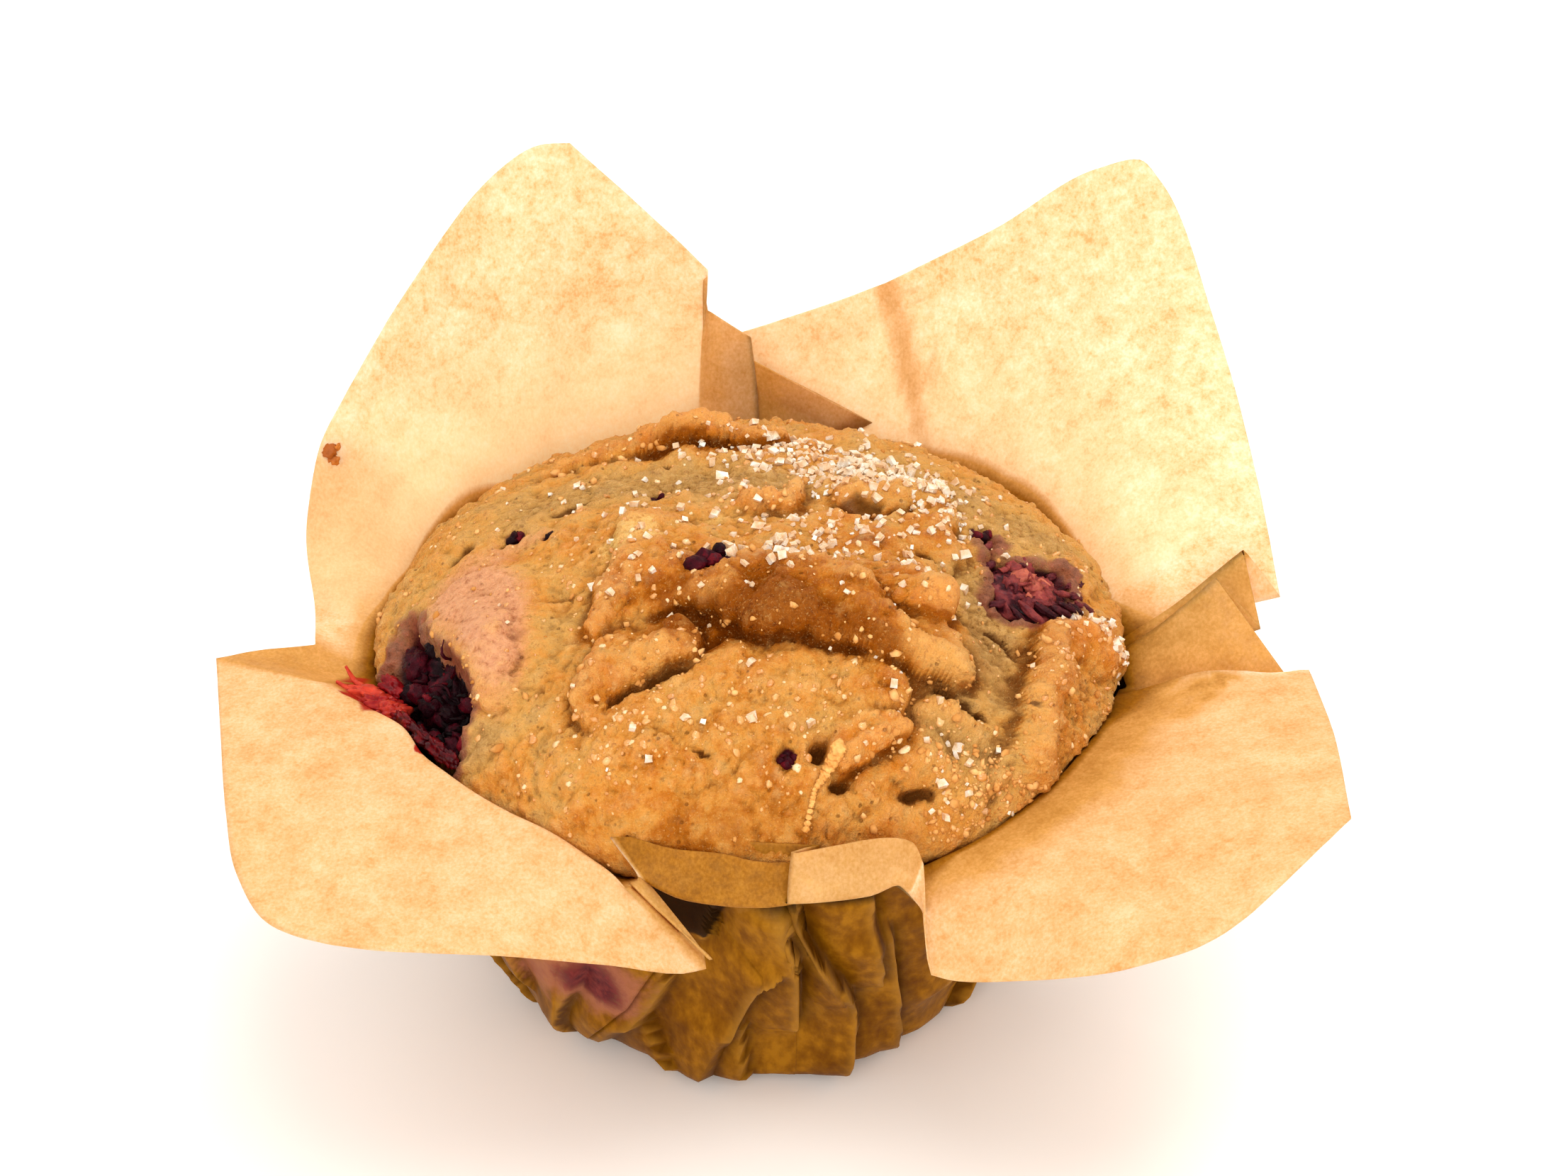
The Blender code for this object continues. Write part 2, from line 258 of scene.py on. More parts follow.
# Ribs of the sheet above the rim: (u, crease there, rim (azimuth, r, z), fold (azimuth, r, z), rounding of the fold,
# free edge (x, y, z)). u runs round the sheet once, in degrees, and counts the hidden layers of the gathers too.
UPPER = [
    # the right-hand gathers, back to front
    (-14.0, 1, (-12.0, 41.6, 36.8), (-9.0, 48.5, 40.2), 1.2, (59.3, -7.1, 40.0)),
    (-9.0, 1, (-7.0, 42.0, 35.4), (-6.5, 47.0, 35.8), 4.0, (57.2, -5.0, 38.0)),
    (-1.0, 1, (-1.0, 41.6, 37.2), (1.0, 44.5, 40.6), 2.0, (50.1, 3.4, 44.8)),
    (2.0, 1, (-2.5, 42.2, 36.2), (-1.0, 46.0, 37.6), 2.0, (55.2, 1.8, 39.3)),
    (5.5, 1, (2.0, 41.8, 37.4), (4.0, 46.0, 41.0), 2.0, (53.5, 8.0, 45.4)),
    (10.0, 1, (4.0, 42.2, 36.6), (6.0, 48.5, 38.6), 2.5, (57.8, 6.9, 40.0)),
    # the back right petal
    (18.0, 0, (13.0, 41.4, 37.6), (13.0, 49.5, 41.0), 8.0, (56.3, 19.6, 46.6)),
    (31.0, 0, (30.0, 41.2, 37.8), (31.0, 51.5, 47.0), 18.0, (51.9, 35.5, 59.0)),
    (43.0, 0, (44.0, 41.2, 37.8), (45.0, 53.0, 52.0), 22.0, (46.2, 46.0, 70.4)),
    (46.0, 0, (47.0, 41.2, 37.8), (47.0, 53.0, 52.4), 22.0, (44.0, 47.4, 72.2)),
    (50.0, 0, (51.0, 41.2, 37.8), (50.0, 52.0, 52.0), 20.0, (39.4, 47.6, 71.0)),
    (62.0, 0, (64.0, 41.2, 37.8), (63.0, 47.5, 49.0), 14.0, (27.0, 46.4, 63.4)),
    (70.0, 1, (73.0, 41.2, 37.8), (73.0, 45.4, 46.0), 9.0, (15.4, 45.6, 57.3)),
    (79.0, 0, (82.0, 41.2, 37.8), (82.0, 45.0, 44.0), 6.0, (6.0, 46.0, 53.2)),
    (84.0, 1, (92.0, 41.3, 37.8), (95.0, 46.0, 43.0), 5.0, (-4.5, 46.6, 48.9)),
    # the gathers at the back: under, and over again
    (88.0, 1, (80.0, 40.6, 37.7), (76.0, 40.9, 39.6), 1.0, (13.9, 39.7, 42.1)),
    (93.0, 1, (94.0, 40.9, 37.7), (94.0, 43.0, 43.0), 3.0, (-3.8, 43.4, 50.6)),
    (94.0, 1, (89.0, 40.8, 37.6), (89.0, 42.2, 43.0), 3.0, (-0.2, 42.4, 51.9)),
    (98.0, 1, (96.0, 40.7, 37.6), (97.0, 42.0, 44.0), 4.0, (-5.0, 42.4, 55.4)),
    # the back left petal
    (101.0, 1, (98.0, 40.8, 37.6), (98.0, 42.2, 45.0), 5.0, (-5.3, 41.6, 59.9)),
    (103.0, 1, (100.0, 40.8, 37.6), (99.0, 42.6, 45.0), 7.0, (-5.0, 41.8, 61.0)),
    (112.0, 0, (108.0, 41.0, 37.8), (106.0, 43.6, 48.0), 12.0, (-11.5, 42.3, 68.0)),
    (124.0, 1, (124.0, 41.2, 37.8), (119.0, 45.0, 52.0), 20.0, (-20.2, 42.6, 76.8)),
    (128.0, 0, (128.0, 41.2, 37.8), (123.0, 45.0, 52.0), 20.0, (-23.6, 41.6, 77.0)),
    (133.0, 0, (133.0, 41.2, 37.8), (127.0, 45.5, 52.0), 20.0, (-28.6, 39.0, 74.6)),
    (142.0, 0, (143.0, 41.2, 37.8), (137.0, 46.6, 50.0), 18.0, (-37.2, 30.6, 66.0)),
    (152.0, 0, (153.0, 41.2, 37.8), (148.0, 47.0, 45.6), 14.0, (-44.2, 22.6, 56.6)),
    (159.0, 0, (161.0, 41.2, 37.8), (157.0, 47.0, 42.0), 9.0, (-47.6, 18.6, 50.8)),
    (165.0, 0, (169.0, 41.2, 37.8), (165.0, 46.0, 39.8), 6.0, (-49.0, 14.6, 43.1)),
    (172.0, 0, (177.0, 41.2, 37.6), (174.0, 45.0, 38.6), 4.0, (-47.6, 7.0, 38.4)),
    # the left-hand gather and the front left petal, whose top edge is a sharp fold
    (178.0, 1, (183.0, 41.4, 37.2), (183.0, 44.4, 38.2), 2.5, (-46.6, -1.6, 39.4)),
    (184.0, 0, (187.0, 41.3, 37.2), (187.0, 46.0, 38.6), 2.5, (-52.0, -3.0, 39.6)),
    (189.0, 1, (191.0, 41.2, 37.8), (193.4, 47.0, 41.3), 1.0, (-56.7, -5.2, 40.2)),
    (197.0, 0, (199.0, 41.2, 38.0), (197.8, 44.0, 41.2), 1.0, (-54.4, -19.6, 40.2)),
    (206.0, 0, (208.0, 41.2, 38.0), (208.0, 40.2, 41.4), 0.8, (-52.4, -31.6, 39.6)),
    (215.0, 0, (216.0, 41.2, 38.0), (215.5, 40.7, 41.4), 0.8, (-50.4, -39.6, 38.2)),
    (221.0, 0, (221.0, 41.2, 38.0), (220.5, 40.5, 41.4), 0.8, (-47.4, -44.8, 36.9)),
    (228.0, 0, (228.0, 41.2, 38.0), (227.0, 40.4, 41.2), 0.8, (-41.6, -48.0, 36.4)),
    (235.0, 0, (235.0, 41.2, 37.8), (234.0, 40.4, 41.0), 0.8, (-33.4, -49.6, 36.6)),
    (242.0, 0, (241.0, 41.1, 37.6), (241.0, 40.3, 40.5), 0.8, (-23.7, -49.4, 36.0)),
    (248.0, 0, (247.0, 40.9, 36.8), (248.4, 41.1, 39.1), 0.8, (-13.4, -47.6, 33.4)),
    (251.0, 0, (249.6, 40.6, 36.0), (251.9, 42.0, 38.3), 0.7, (-6.2, -45.8, 30.8)),
    (252.2, 1, (250.4, 40.2, 35.6), (253.6, 42.7, 37.7), 0.6, (-4.0, -44.6, 30.4)),
    (253.0, 1, (251.0, 39.6, 35.0), (254.0, 41.6, 37.4), 0.6, (-4.2, -43.2, 31.2)),
    (254.4, 1, (251.6, 39.2, 34.8), (254.4, 42.2, 38.0), 0.6, (-3.5, -44.4, 31.3)),
    # the collar: two strips that overlap, with a third layer behind
    (257.0, 1, (252.6, 38.2, 34.4), (255.4, 41.2, 38.0), 0.9, (-13.6, -36.6, 40.6)),
    (259.0, 0, (255.0, 38.0, 33.8), (258.2, 41.4, 37.0), 0.8, (-11.4, -37.6, 41.4)),
    (262.0, 0, (259.0, 37.8, 33.2), (261.6, 41.3, 36.0), 0.6, (-7.4, -38.8, 41.0)),
    (265.0, 0, (264.0, 37.8, 33.0), (267.0, 41.0, 35.3), 0.6, (-2.4, -39.3, 40.8)),
    (268.5, 0, (272.0, 37.8, 33.0), (273.0, 41.0, 35.1), 0.6, (2.4, -39.6, 39.9)),
    (270.0, 1, (277.0, 37.6, 33.0), (278.0, 40.4, 35.0), 0.6, (6.6, -39.0, 39.6)),
    (274.0, 1, (262.0, 37.4, 33.2), (264.0, 38.6, 35.5), 0.6, (-8.6, -36.9, 41.0)),
    (278.5, 1, (279.0, 37.6, 33.0), (280.0, 39.6, 34.8), 0.6, (7.2, -38.8, 41.4)),
    (280.0, 1, (275.0, 38.0, 33.2), (275.6, 42.0, 36.3), 0.6, (4.6, -40.6, 41.8)),
    (283.0, 0, (280.0, 38.2, 33.6), (280.6, 42.2, 36.2), 0.8, (8.2, -39.8, 42.0)),
    (287.0, 0, (286.0, 38.4, 33.8), (287.0, 42.4, 36.2), 0.9, (13.0, -38.6, 42.0)),
    (290.0, 0, (289.4, 38.8, 34.4), (291.0, 42.6, 37.0), 0.9, (16.4, -38.2, 41.2)),
    # the narrow fold that ends it, and the front right petal
    (292.0, 1, (291.0, 39.6, 34.8), (292.0, 43.6, 36.4), 1.0, (17.4, -39.6, 39.6)),
    (297.0, 1, (293.0, 40.6, 35.6), (294.0, 45.6, 33.8), 2.0, (18.3, -45.2, 30.1)),
    (298.5, 0, (294.0, 40.8, 35.8), (295.0, 46.0, 34.2), 3.0, (19.8, -45.8, 30.0)),
    (303.0, 0, (299.0, 41.0, 36.4), (300.0, 47.0, 36.2), 6.0, (27.0, -48.6, 32.2)),
    (309.0, 0, (305.0, 41.1, 36.8), (306.0, 48.0, 38.0), 9.0, (35.0, -52.2, 36.2)),
    (315.0, 0, (311.0, 41.2, 37.2), (312.0, 49.0, 39.0), 10.0, (42.4, -52.6, 39.2)),
    (320.0, 0, (317.0, 41.2, 37.4), (318.0, 50.0, 39.6), 12.0, (47.4, -50.6, 41.2)),
    (327.0, 0, (325.0, 41.2, 37.4), (325.0, 50.0, 40.0), 12.0, (54.2, -44.6, 43.6)),
    (333.0, 1, (332.0, 41.2, 37.4), (332.0, 49.5, 40.0), 10.0, (59.4, -38.6, 44.6)),
    (340.0, 0, (340.0, 41.4, 37.2), (342.0, 49.0, 39.6), 8.0, (59.9, -22.0, 42.6)),
]

# Pleats of the wall: (u, azimuth at the base edge, a third up, two thirds up), each a fold whose left layer lies on top.
PLEATS = [
    (-8.0, -16.0, -12.0, -9.0),
    (1.0, -3.0, -2.0, -1.0),
    (7.0, 10.0, 6.0, 3.0),
    (82.0, 74.0, 80.0, 85.0),
    (90.0, 86.0, 87.0, 88.0),
    (97.0, 104.0, 99.0, 96.0),
    (169.0, 163.0, 168.0, 173.0),
    (178.0, 178.0, 180.0, 181.0),
    (186.0, 196.0, 191.0, 188.0),
    (240.0, 228.0, 233.0, 240.0),
    (254.0, 233.0, 247.0, 256.0),
    (262.0, 262.0, 267.5, 272.5),
    (271.0, 280.0, 279.3, 277.6),
    (281.0, 291.0, 289.5, 282.0),
    (291.0, 308.0, 300.0, 294.0),
]
# Plain places of the wall between the gathers, where u and azimuth agree.
PLAIN = [30.0, 45.0, 60.0, 120.0, 135.0, 150.0, 205.0, 220.0, 320.0, 335.0]


# The foot of the wall isn't round: azimuths, how far it stands out there, how far it is off the table, in mm.
FOOT = np.array(
    [
        (0, 0.3, 0), (20, 0.9, 0), (38, 0.0, 0.3), (55, 0.8, 0), (80, 0.2, 0), (96, 1.0, 0.5), (110, 0.1, 0), (140, 0.7, 0), (165, 0.1, 0.4), (185, 0.9, 0),
        (205, 0.4, 0.2), (222, 1.0, 0.5), (228, 1.9, 1.0), (238, 0.9, 1.3), (248, 0.5, 1.0), (252, 1.0, 0.0), (262, 1.5, 0), (272, 1.3, 0), (283, 1.0, 0),
        (291, 1.5, 0), (300, 0.5, 0.2), (312, 0.9, 0), (335, 0.1, 0), (350, 0.8, 0), (360, 0.3, 0),
    ]
).T  # fmt: skip
# Where one layer of the front wall laps over the next: lines of (azimuth, height), the left side on top, and its step.
LAPS = [
    ([(241, 20), (236, 13), (231, 8), (228, 4), (227, -4)], 0.9),
    ([(258, 26), (256, 19), (252, 14), (248, 10), (240, 5), (231, -1)], 1.0),
    ([(249, 12), (251, 5), (253, -4)], 0.7),
    ([(267, 38), (265, 30), (262, 24)], 0.8),
    ([(273, 38), (276, 29), (278, 25), (279, 16), (279.6, 9)], 1.2),
    ([(277, 24), (272, 20), (269, 14), (263, 5), (259, -4)], 1.0),
    ([(269.5, 14), (269, 7), (270, -4)], 0.7),
    ([(276.5, 38), (278, 30), (280, 26), (283, 22), (289, 16), (291, 11), (291, -4)], 1.3),
    ([(288, 38), (291, 27), (295, 15)], 1.0),
    ([(293, 28), (298, 16), (301, 10), (308, -4)], 1.0),
    ([(303, 30), (309, 20), (315, 8)], 0.7),
]


def dent(angle, z):
    """The wall is pushed in under the collar's left half."""
    return 3.4 * np.exp(-(((angle - 259) / 7.5) ** 2)) * np.exp(-(((z - 33) / 5.5) ** 2))


def laps(angle, z):
    """How far the lapped layers stand off the wall, over azimuth in degrees and height."""
    total, foot, brow = np.zeros(len(angle)), np.zeros(len(angle)), np.zeros(len(angle))
    for around, mirror in ((0, 1), (90, -1), (-90, 1), (-180, -1)):
        for line, tall in LAPS:
            pts = np.array(line, float)
            if around or mirror < 0:
                pts[:, 0] = 270 + mirror * (pts[:, 0] - 270) + around
            middle = pts[:, 0].mean()
            x = np.radians((angle - middle + 180) % 360 - 180) * 33.0
            y = z * 1.05
            pts = np.stack([np.radians(pts[:, 0] - middle) * 33.0, pts[:, 1] * 1.05], 1)
            best, side, along, run = np.full(len(x), 1e9), np.zeros(len(x)), np.zeros(len(x)), 0.0
            for a, b in zip(pts, pts[1:]):
                e = b - a
                length = math.hypot(*e)
                t = np.clip(((x - a[0]) * e[0] + (y - a[1]) * e[1]) / length**2, 0, 1)
                d = np.hypot(x - a[0] - t * e[0], y - a[1] - t * e[1])
                turn = e[0] * (y - a[1]) - e[1] * (x - a[0])
                near = d < best
                best, side, along = np.where(near, d, best), np.where(near, -np.sign(turn), side), np.where(near, run + t * length, along)
                run += length
            d = best * side * mirror
            ends = smooth(0, 3.5, along) * smooth(0, 3.5, run - along)
            step = smooth(-0.30, 0.30, d) * np.clip(1 - np.clip(d, 0, None) / 9.0, 0, 1)
            dip = 0.30 * np.clip(1 + d / 3.0, 0, 1) * (d <= 0)
            total += 1.75 * tall * ends * (step - dip)
            # foot: painted shadow just below each lap's edge; brow: painted highlight along the edge
            foot = np.maximum(foot, ends * np.exp(-((np.clip(-d, 0, None) / 1.3) ** 2)) * (d <= 0.1))
            brow = np.maximum(brow, ends * np.exp(-((np.clip(d, 0, None) / 0.8) ** 2)) * (d > 0.1))
    return total, foot, brow


def hermite(knots, values, crease, at):
    """A curve through the values at the knots, smooth there except where crease is set."""
    gap = np.diff(knots)[:, None]
    slope = np.diff(values, axis=0) / gap
    left, right = np.empty_like(values), np.empty_like(values)
    left[0], left[1:] = slope[0], slope
    right[-1], right[:-1] = slope[-1], slope
    before, after = np.ones(len(knots)), np.ones(len(knots))
    before[1:], after[:-1] = gap[:, 0], gap[:, 0]
    average = (left * after[:, None] + right * before[:, None]) / (before + after)[:, None]
    calm = np.where(left * right > 0, average, 0.35 * average)
    crease = np.asarray(crease, bool)[:, None]
    left, right = np.where(crease, left, calm), np.where(crease, right, calm)
    k = np.clip(np.searchsorted(knots, at, "right") - 1, 0, len(knots) - 2)
    g = gap[k]
    t = ((at - knots[k]) / g[:, 0])[:, None]
    return (
        (2 * t**3 - 3 * t**2 + 1) * values[k]
        + (t**3 - 2 * t**2 + t) * g * right[k]
        + (-2 * t**3 + 3 * t**2) * values[k + 1]
        + (t**3 - t**2) * g * left[k + 1]
    )


def paper_sheet():
    upper = sorted(UPPER, key=lambda row: row[0])
    first = upper[0]
    # one more rib closes the ring
    upper.append((first[0] + 360, first[1], (first[2][0] + 360, *first[2][1:]), (first[3][0] + 360, *first[3][1:]), *first[4:]))
    knots_up = np.array([row[0] for row in upper])
    crease_up = [row[1] for row in upper]
    values_up = np.array([[*row[2], *row[3], row[4], *row[5]] for row in upper])

    wall = []  # (u, azimuth at three heights, how far it stands off there, crease)
    for u, low, third, two in PLEATS:
        wall.append((u - 0.45, (low - 0.1, third - 0.2, two - 0.2), (0.1, 0.25, 0.3)))
        wall.append((u + 0.45, (low + 0.1, third + 0.2, two + 0.2), (0.0, 0.0, 0.0)))
    for u in PLAIN:
        wall.append((u, (u, u, u), (0.2, 0.3, 0.2)))
    wall.sort(key=lambda row: row[0])
    head, tail = wall[0], wall[-1]
    wall.insert(0, (tail[0] - 360, tuple(a - 360 for a in tail[1]), tail[2]))
    wall.append((head[0] + 360, tuple(a + 360 for a in head[1]), head[2]))
    knots_w = np.array([row[0] for row in wall])
    values_w = np.array([[*row[1], *row[2]] for row in wall])

    start = upper[0][0]
    breaks = sorted({*knots_up[:-1], *(u if u >= start else u + 360 for u in knots_w[1:-1])})
    us = []
    for a, b in zip(breaks, [*breaks[1:], start + 360]):
        count = max(2, round((b - a) / 0.72))
        us += list(a + (b - a) * np.arange(count) / count)
    us = np.array(us)

    up = hermite(knots_up, values_up, crease_up, us)
    rim, fold, cut, edge = up[:, 0:3] - (0, 1.2, 0), up[:, 3:6], up[:, 6], up[:, 7:10]
    # at the right the rim hugs the crown
    hug = np.exp(-((((us + 12 + 180) % 360 - 180) / 34) ** 4))
    rim = rim + np.stack([0 * hug, -0.7 * hug, 0.5 * hug], 1)
    # the back petals rise beside the crown before they lean out
    rising = np.exp(-(((us - 38) / 26) ** 4)) + np.exp(-(((us - 140) / 28) ** 4))
    fold = fold + np.stack([0 * rising, -2.4 * rising, 0.6 * rising], 1)
    third = np.stack([np.interp(us, knots_w, values_w[:, c]) for c in range(6)], 1)

    half = SHEET / 2
    rows = []
    base_angle = third[:, 0]
    foot_out = np.interp(base_angle % 360, FOOT[0], FOOT[1])
    foot_up = np.interp(base_angle % 360, FOOT[0], FOOT[2])
    for share in (0.0, 0.35, 0.7, 1.0):
        rows.append(cyl(base_angle, share * (BASE_R - BASE_ROUND) + 0.02, half + 0 * base_angle))
    for step in (1, 2, 3):
        turn = math.radians(24) * step
        off = third[:, 3] * step / 3
        rows.append(
            cyl(
                base_angle,
                BASE_R - BASE_ROUND + BASE_ROUND * math.sin(turn) + off * 0.6 + foot_out * step / 3,
                half + BASE_ROUND * (1 - math.cos(turn)) + foot_up * step / 3,
            )
        )
    foot_r, foot_z = BASE_R - BASE_ROUND + BASE_ROUND * math.sin(math.radians(72)), half + BASE_ROUND * (1 - math.cos(math.radians(72)))
    wall_rows = 40
    for step in range(1, wall_rows + 1):
        t = step / wall_rows
        # azimuth and stand-off along the rib: three given heights, then the rim
        angle = np.where(
            t < 1 / 3,
            mix(third[:, 0], third[:, 1], t * 3),
            np.where(t < 2 / 3, mix(third[:, 1], third[:, 2], t * 3 - 1), mix(third[:, 2], rim[:, 0], t * 3 - 2)),
        )
        off = np.where(
            t < 1 / 3,
            mix(third[:, 3], third[:, 4], t * 3),
            np.where(t < 2 / 3, mix(third[:, 4], third[:, 5], t * 3 - 1), mix(third[:, 5], 0.0, smooth(0, 1, t * 3 - 2))),
        )
        swell = 1.7 * np.exp(-(((angle - 212) / 30) ** 2)) * math.sin(math.pi * t)
        r = mix(foot_r, rim[:, 1], t) + off + swell + foot_out * (1 - t) ** 2
        z = mix(foot_z, rim[:, 2], t) + foot_up * (1 - t) ** 3
        rows.append(cyl(angle, r, z))
    wall_end = len(rows)
    a, b, e = cyl(rim[:, 0], rim[:, 1], rim[:, 2]), cyl(fold[:, 0], fold[:, 1], fold[:, 2]), edge
    la, lb = np.linalg.norm(a - b, axis=1), np.linalg.norm(e - b, axis=1)
    c = np.minimum(cut, np.minimum(0.9 * la, 0.6 * lb))[:, None]
    p, q = b + (a - b) * c / la[:, None], b + (e - b) * c / lb[:, None]
    for t in (0.5, 1.0):
        rows.append(mix(a, p, t))
    for step in range(1, 8):
        t = step / 7
        rows.append(p * (1 - t) ** 2 + b * 2 * t * (1 - t) + q * t * t)
    out_rows = 26
    for step in range(1, out_rows + 1):
        rows.append(mix(q, e, step / out_rows))
    grid = np.stack(rows, 1)  # ribs, rows, xyz
    return us, grid, wall_end


def grid_normals(grid):
    along = np.roll(grid, -1, 0) - np.roll(grid, 1, 0)
    across = np.gradient(grid, axis=1)
    n = np.cross(along, across)
    return n / np.maximum(np.linalg.norm(n, axis=-1, keepdims=True), 1e-9)


def near_line(points, a, b):
    """(distance from the points to the segment a-b, place along it 0 to 1)."""
    a, b = np.array(a, float), np.array(b, float)
    t = np.clip(((points - a) @ (b - a)) / ((b - a) @ (b - a)), 0, 1)
    return np.linalg.norm(points - (a + t[:, None] * (b - a)), axis=1), t


# Creases pressed into the petals: (from, to, half width, depth along the sheet's normal), in mm.
CREASES = [
    ((15.4, 45.6, 57.3), (20.0, 40.0, 40.0), 1.1, 0.55),
    ((17.6, 45.4, 58.0), (22.5, 39.5, 40.5), 0.7, -0.35),
    ((41.0, -11.0, 37.6), (51.0, -6.5, 39.4), 0.9, 0.5),
    ((51.0, -6.5, 39.4), (58.5, -8.0, 40.2), 0.8, 0.35),
    ((40.0, -17.0, 37.6), (50.0, -10.0, 39.2), 1.0, -0.45),
    ((36.0, -24.0, 37.6), (49.0, -13.0, 39.4), 0.9, 0.4),
    ((33.0, -29.0, 37.4), (44.0, -22.0, 39.0), 0.9, -0.3),
    ((-44.0, 12.0, 40.0), (-49.0, 17.0, 47.0), 1.2, 0.35),
    ((-42.5, 8.0, 38.6), (-45.5, 21.0, 52.0), 1.4, -0.3),
]


def make_paper():
    us, grid, wall_end = paper_sheet()
    ribs, count = grid.shape[:2]
    row = np.tile(np.arange(count), (ribs, 1)).reshape(-1)
    normal = grid_normals(grid).reshape(-1, 3)
    flat = grid.reshape(-1, 3)
    petal = smooth(wall_end + 2, wall_end + 14, row)
    wall = smooth(6, 10, row) * (1 - smooth(wall_end - 4, wall_end, row))
    outward = flat * (1, 1, 0) / np.maximum(np.linalg.norm(flat[:, :2], axis=1), 1)[:, None]
    moved = flat.copy()
    # petals: slow waves and the faint cockle of baked paper
    wave = 0.55 * fbm(flat, 19, 2, 3) + 0.16 * fbm(flat, 6.0, 2, 5) + 0.05 * noise(flat, 2.2, 6)
    moved += normal * (wave * petal)[:, None]
    # wall: crumpled, ridged between soft facets
    around = np.degrees(np.arctan2(flat[:, 1], flat[:, 0])) % 360
    dist, _ = cells(flat * (1, 1, 0.7), 12.0, 17)
    fine_dist, _ = cells(flat * (1, 1, 0.7), 5.5, 18)
    crumple = 1.3 * (dist - 0.45) + 0.30 * (fine_dist - 0.45) + 0.04 * noise(flat, 2.2, 13)
    lap_height, lap_painted_shadow, lap_painted_highlight = laps(around, flat[:, 2])
    wall_laps = lap_height * (row <= wall_end + 1)
    wall_laps = wall_laps - dent(around, flat[:, 2]) * (row <= wall_end)
    moved += outward * ((crumple + 0.1) * wall + wall_laps * smooth(3, 7, row) * (1 - smooth(wall_end - 3, wall_end + 1, row)))[:, None]
    for a, b, width, depth in CREASES:
        d, t = near_line(flat, a, b)
        moved += normal * (depth * np.clip(1 - d / width, 0, 1) * smooth(0, 0.15, t) * (1 - smooth(0.8, 1.0, t)) * (row > wall_end))[:, None]

    x, y, z = flat.T
    radius = np.hypot(x, y)
    angle = np.degrees(np.arctan2(y, x)) % 360
    blotch = fbm(flat, 5.0, 3, 21)
    uu = np.repeat(us, count)
    on_petal = row > wall_end
    grease = np.where(on_petal, 0.0, 1.0)
    off = np.linalg.norm(flat - grid[:, wall_end - 1][:, None, :].repeat(count, 1).reshape(-1, 3), axis=1)
    near_u = [-14, 10, 18, 40, 75, 84, 100, 112, 150, 172, 190, 215, 250, 257, 292, 300, 320, 346]
    strength = np.interp(uu, near_u, [0.56, 0.55, 0.20, 0.02, 0.04, 0.4, 0.4, 0.03, 0.06, 0.45, 0.50, 0.45, 0.55, 0.8, 0.7, 0.56, 0.62, 0.66])
    reach = np.interp(uu, near_u, [11, 9, 8, 6, 7, 8, 8, 8, 10, 7, 3.5, 3, 3, 5, 5, 8, 11, 12])
    grease = np.maximum(grease, strength * (1 - smooth(0.15, 1.0, (off + 2.4 * blotch - 0.5) / reach)) * on_petal)
    # the folded layers at the four sides are browner all over
    extra = np.zeros(len(flat))
    left_layer = ((uu > 257) & (uu < 279.2)) * on_petal
    right_layer = ((uu >= 279.2) & (uu < 292)) * on_petal
    extra = np.maximum(extra, 0.97 * left_layer)
    extra = np.maximum(extra, 0.42 * right_layer)
    # painted shade: the gathers at the right darken towards the crown, where it shades them
    extra = np.maximum(extra, (0.47 + 0.08 * blotch + 0.40 * np.exp(-((off / 6.5) ** 2))) * (((uu > -9.5) & (uu <= -1)) | (uu > 350.5)) * on_petal)
    extra = np.maximum(extra, (0.52 + 0.06 * blotch) * ((uu > -1) & (uu <= 6.3)) * on_petal)
    extra = np.maximum(extra, (0.24 + 0.06 * blotch + 0.3 * np.exp(-((off / 7.0) ** 2))) * ((uu > 6.3) & (uu < 10)) * on_petal)
    # painted shade: the flap at the back darkens towards the strip beside it
    extra = np.maximum(extra, (0.37 + 0.24 * smooth(8.0, -3.0, flat[:, 0]) * (uu < 93)) * ((uu > 84.5) & (uu < 97)) * on_petal)
    extra = np.maximum(extra, 0.42 * ((uu >= 97) & (uu < 102)) * on_petal)
    extra = np.maximum(extra, 0.50 * smooth(174, 179, uu) * (uu < 189.2) * on_petal)
    extra = np.maximum(extra, 0.46 * ((uu > 251.6) & (uu < 257)) * on_petal)
    d, t = near_line(flat, (40.5, -14.0, 37.6), (48.0, -11.0, 39.6))
    extra = np.maximum(extra, 0.46 * (1 - smooth(1.0, 7.0, d + 1.8 * blotch)) * on_petal)
    for a, b in (((41.0, -12.0), (46.3, -10.2)), ((46.3, -10.2), (57.0, -6.6)), ((50.0, -8.6), (44.5, -11.6)), ((49.8, -9.6), (41.0, -19.0))):
        d, t = near_line(flat * (1, 1, 0), (*a, 0), (*b, 0))
        extra = np.maximum(extra, 0.74 * (1 - smooth(0.2, 0.9, d + 0.3 * blotch)) * (1 - 0.5 * t) * on_petal * (uu > 300))
    # a darker band and a thin line along the back right petal's crease: partly stain, partly painted crease shade
    for a, b, wide in (((15.4, 57.3), (18.2, 46.9), 1.3), ((18.2, 46.9), (20.6, 39.0), 0.7)):
        d, t = near_line(flat * (1, 0.15, 1), (a[0], 6.4, a[1]), (b[0], 6.1, b[1]))
        extra = np.maximum(extra, 0.34 * (1 - smooth(0.4 * wide, wide + 0.7, d + 0.5 * blotch)) * (uu > 40) * (uu < 84.5) * on_petal)
    d, t = near_line(flat * (1, 0.15, 1), (17.6, 6.4, 57.6), (20.4, 6.1, 47.5))
    extra = np.maximum(extra, 0.20 * (1 - smooth(1.0, 2.0, d)) * smooth(-0.1, 0.3, fbm(flat, 1.3, 2, 23)) * (uu > 40) * (uu < 84.5) * on_petal)
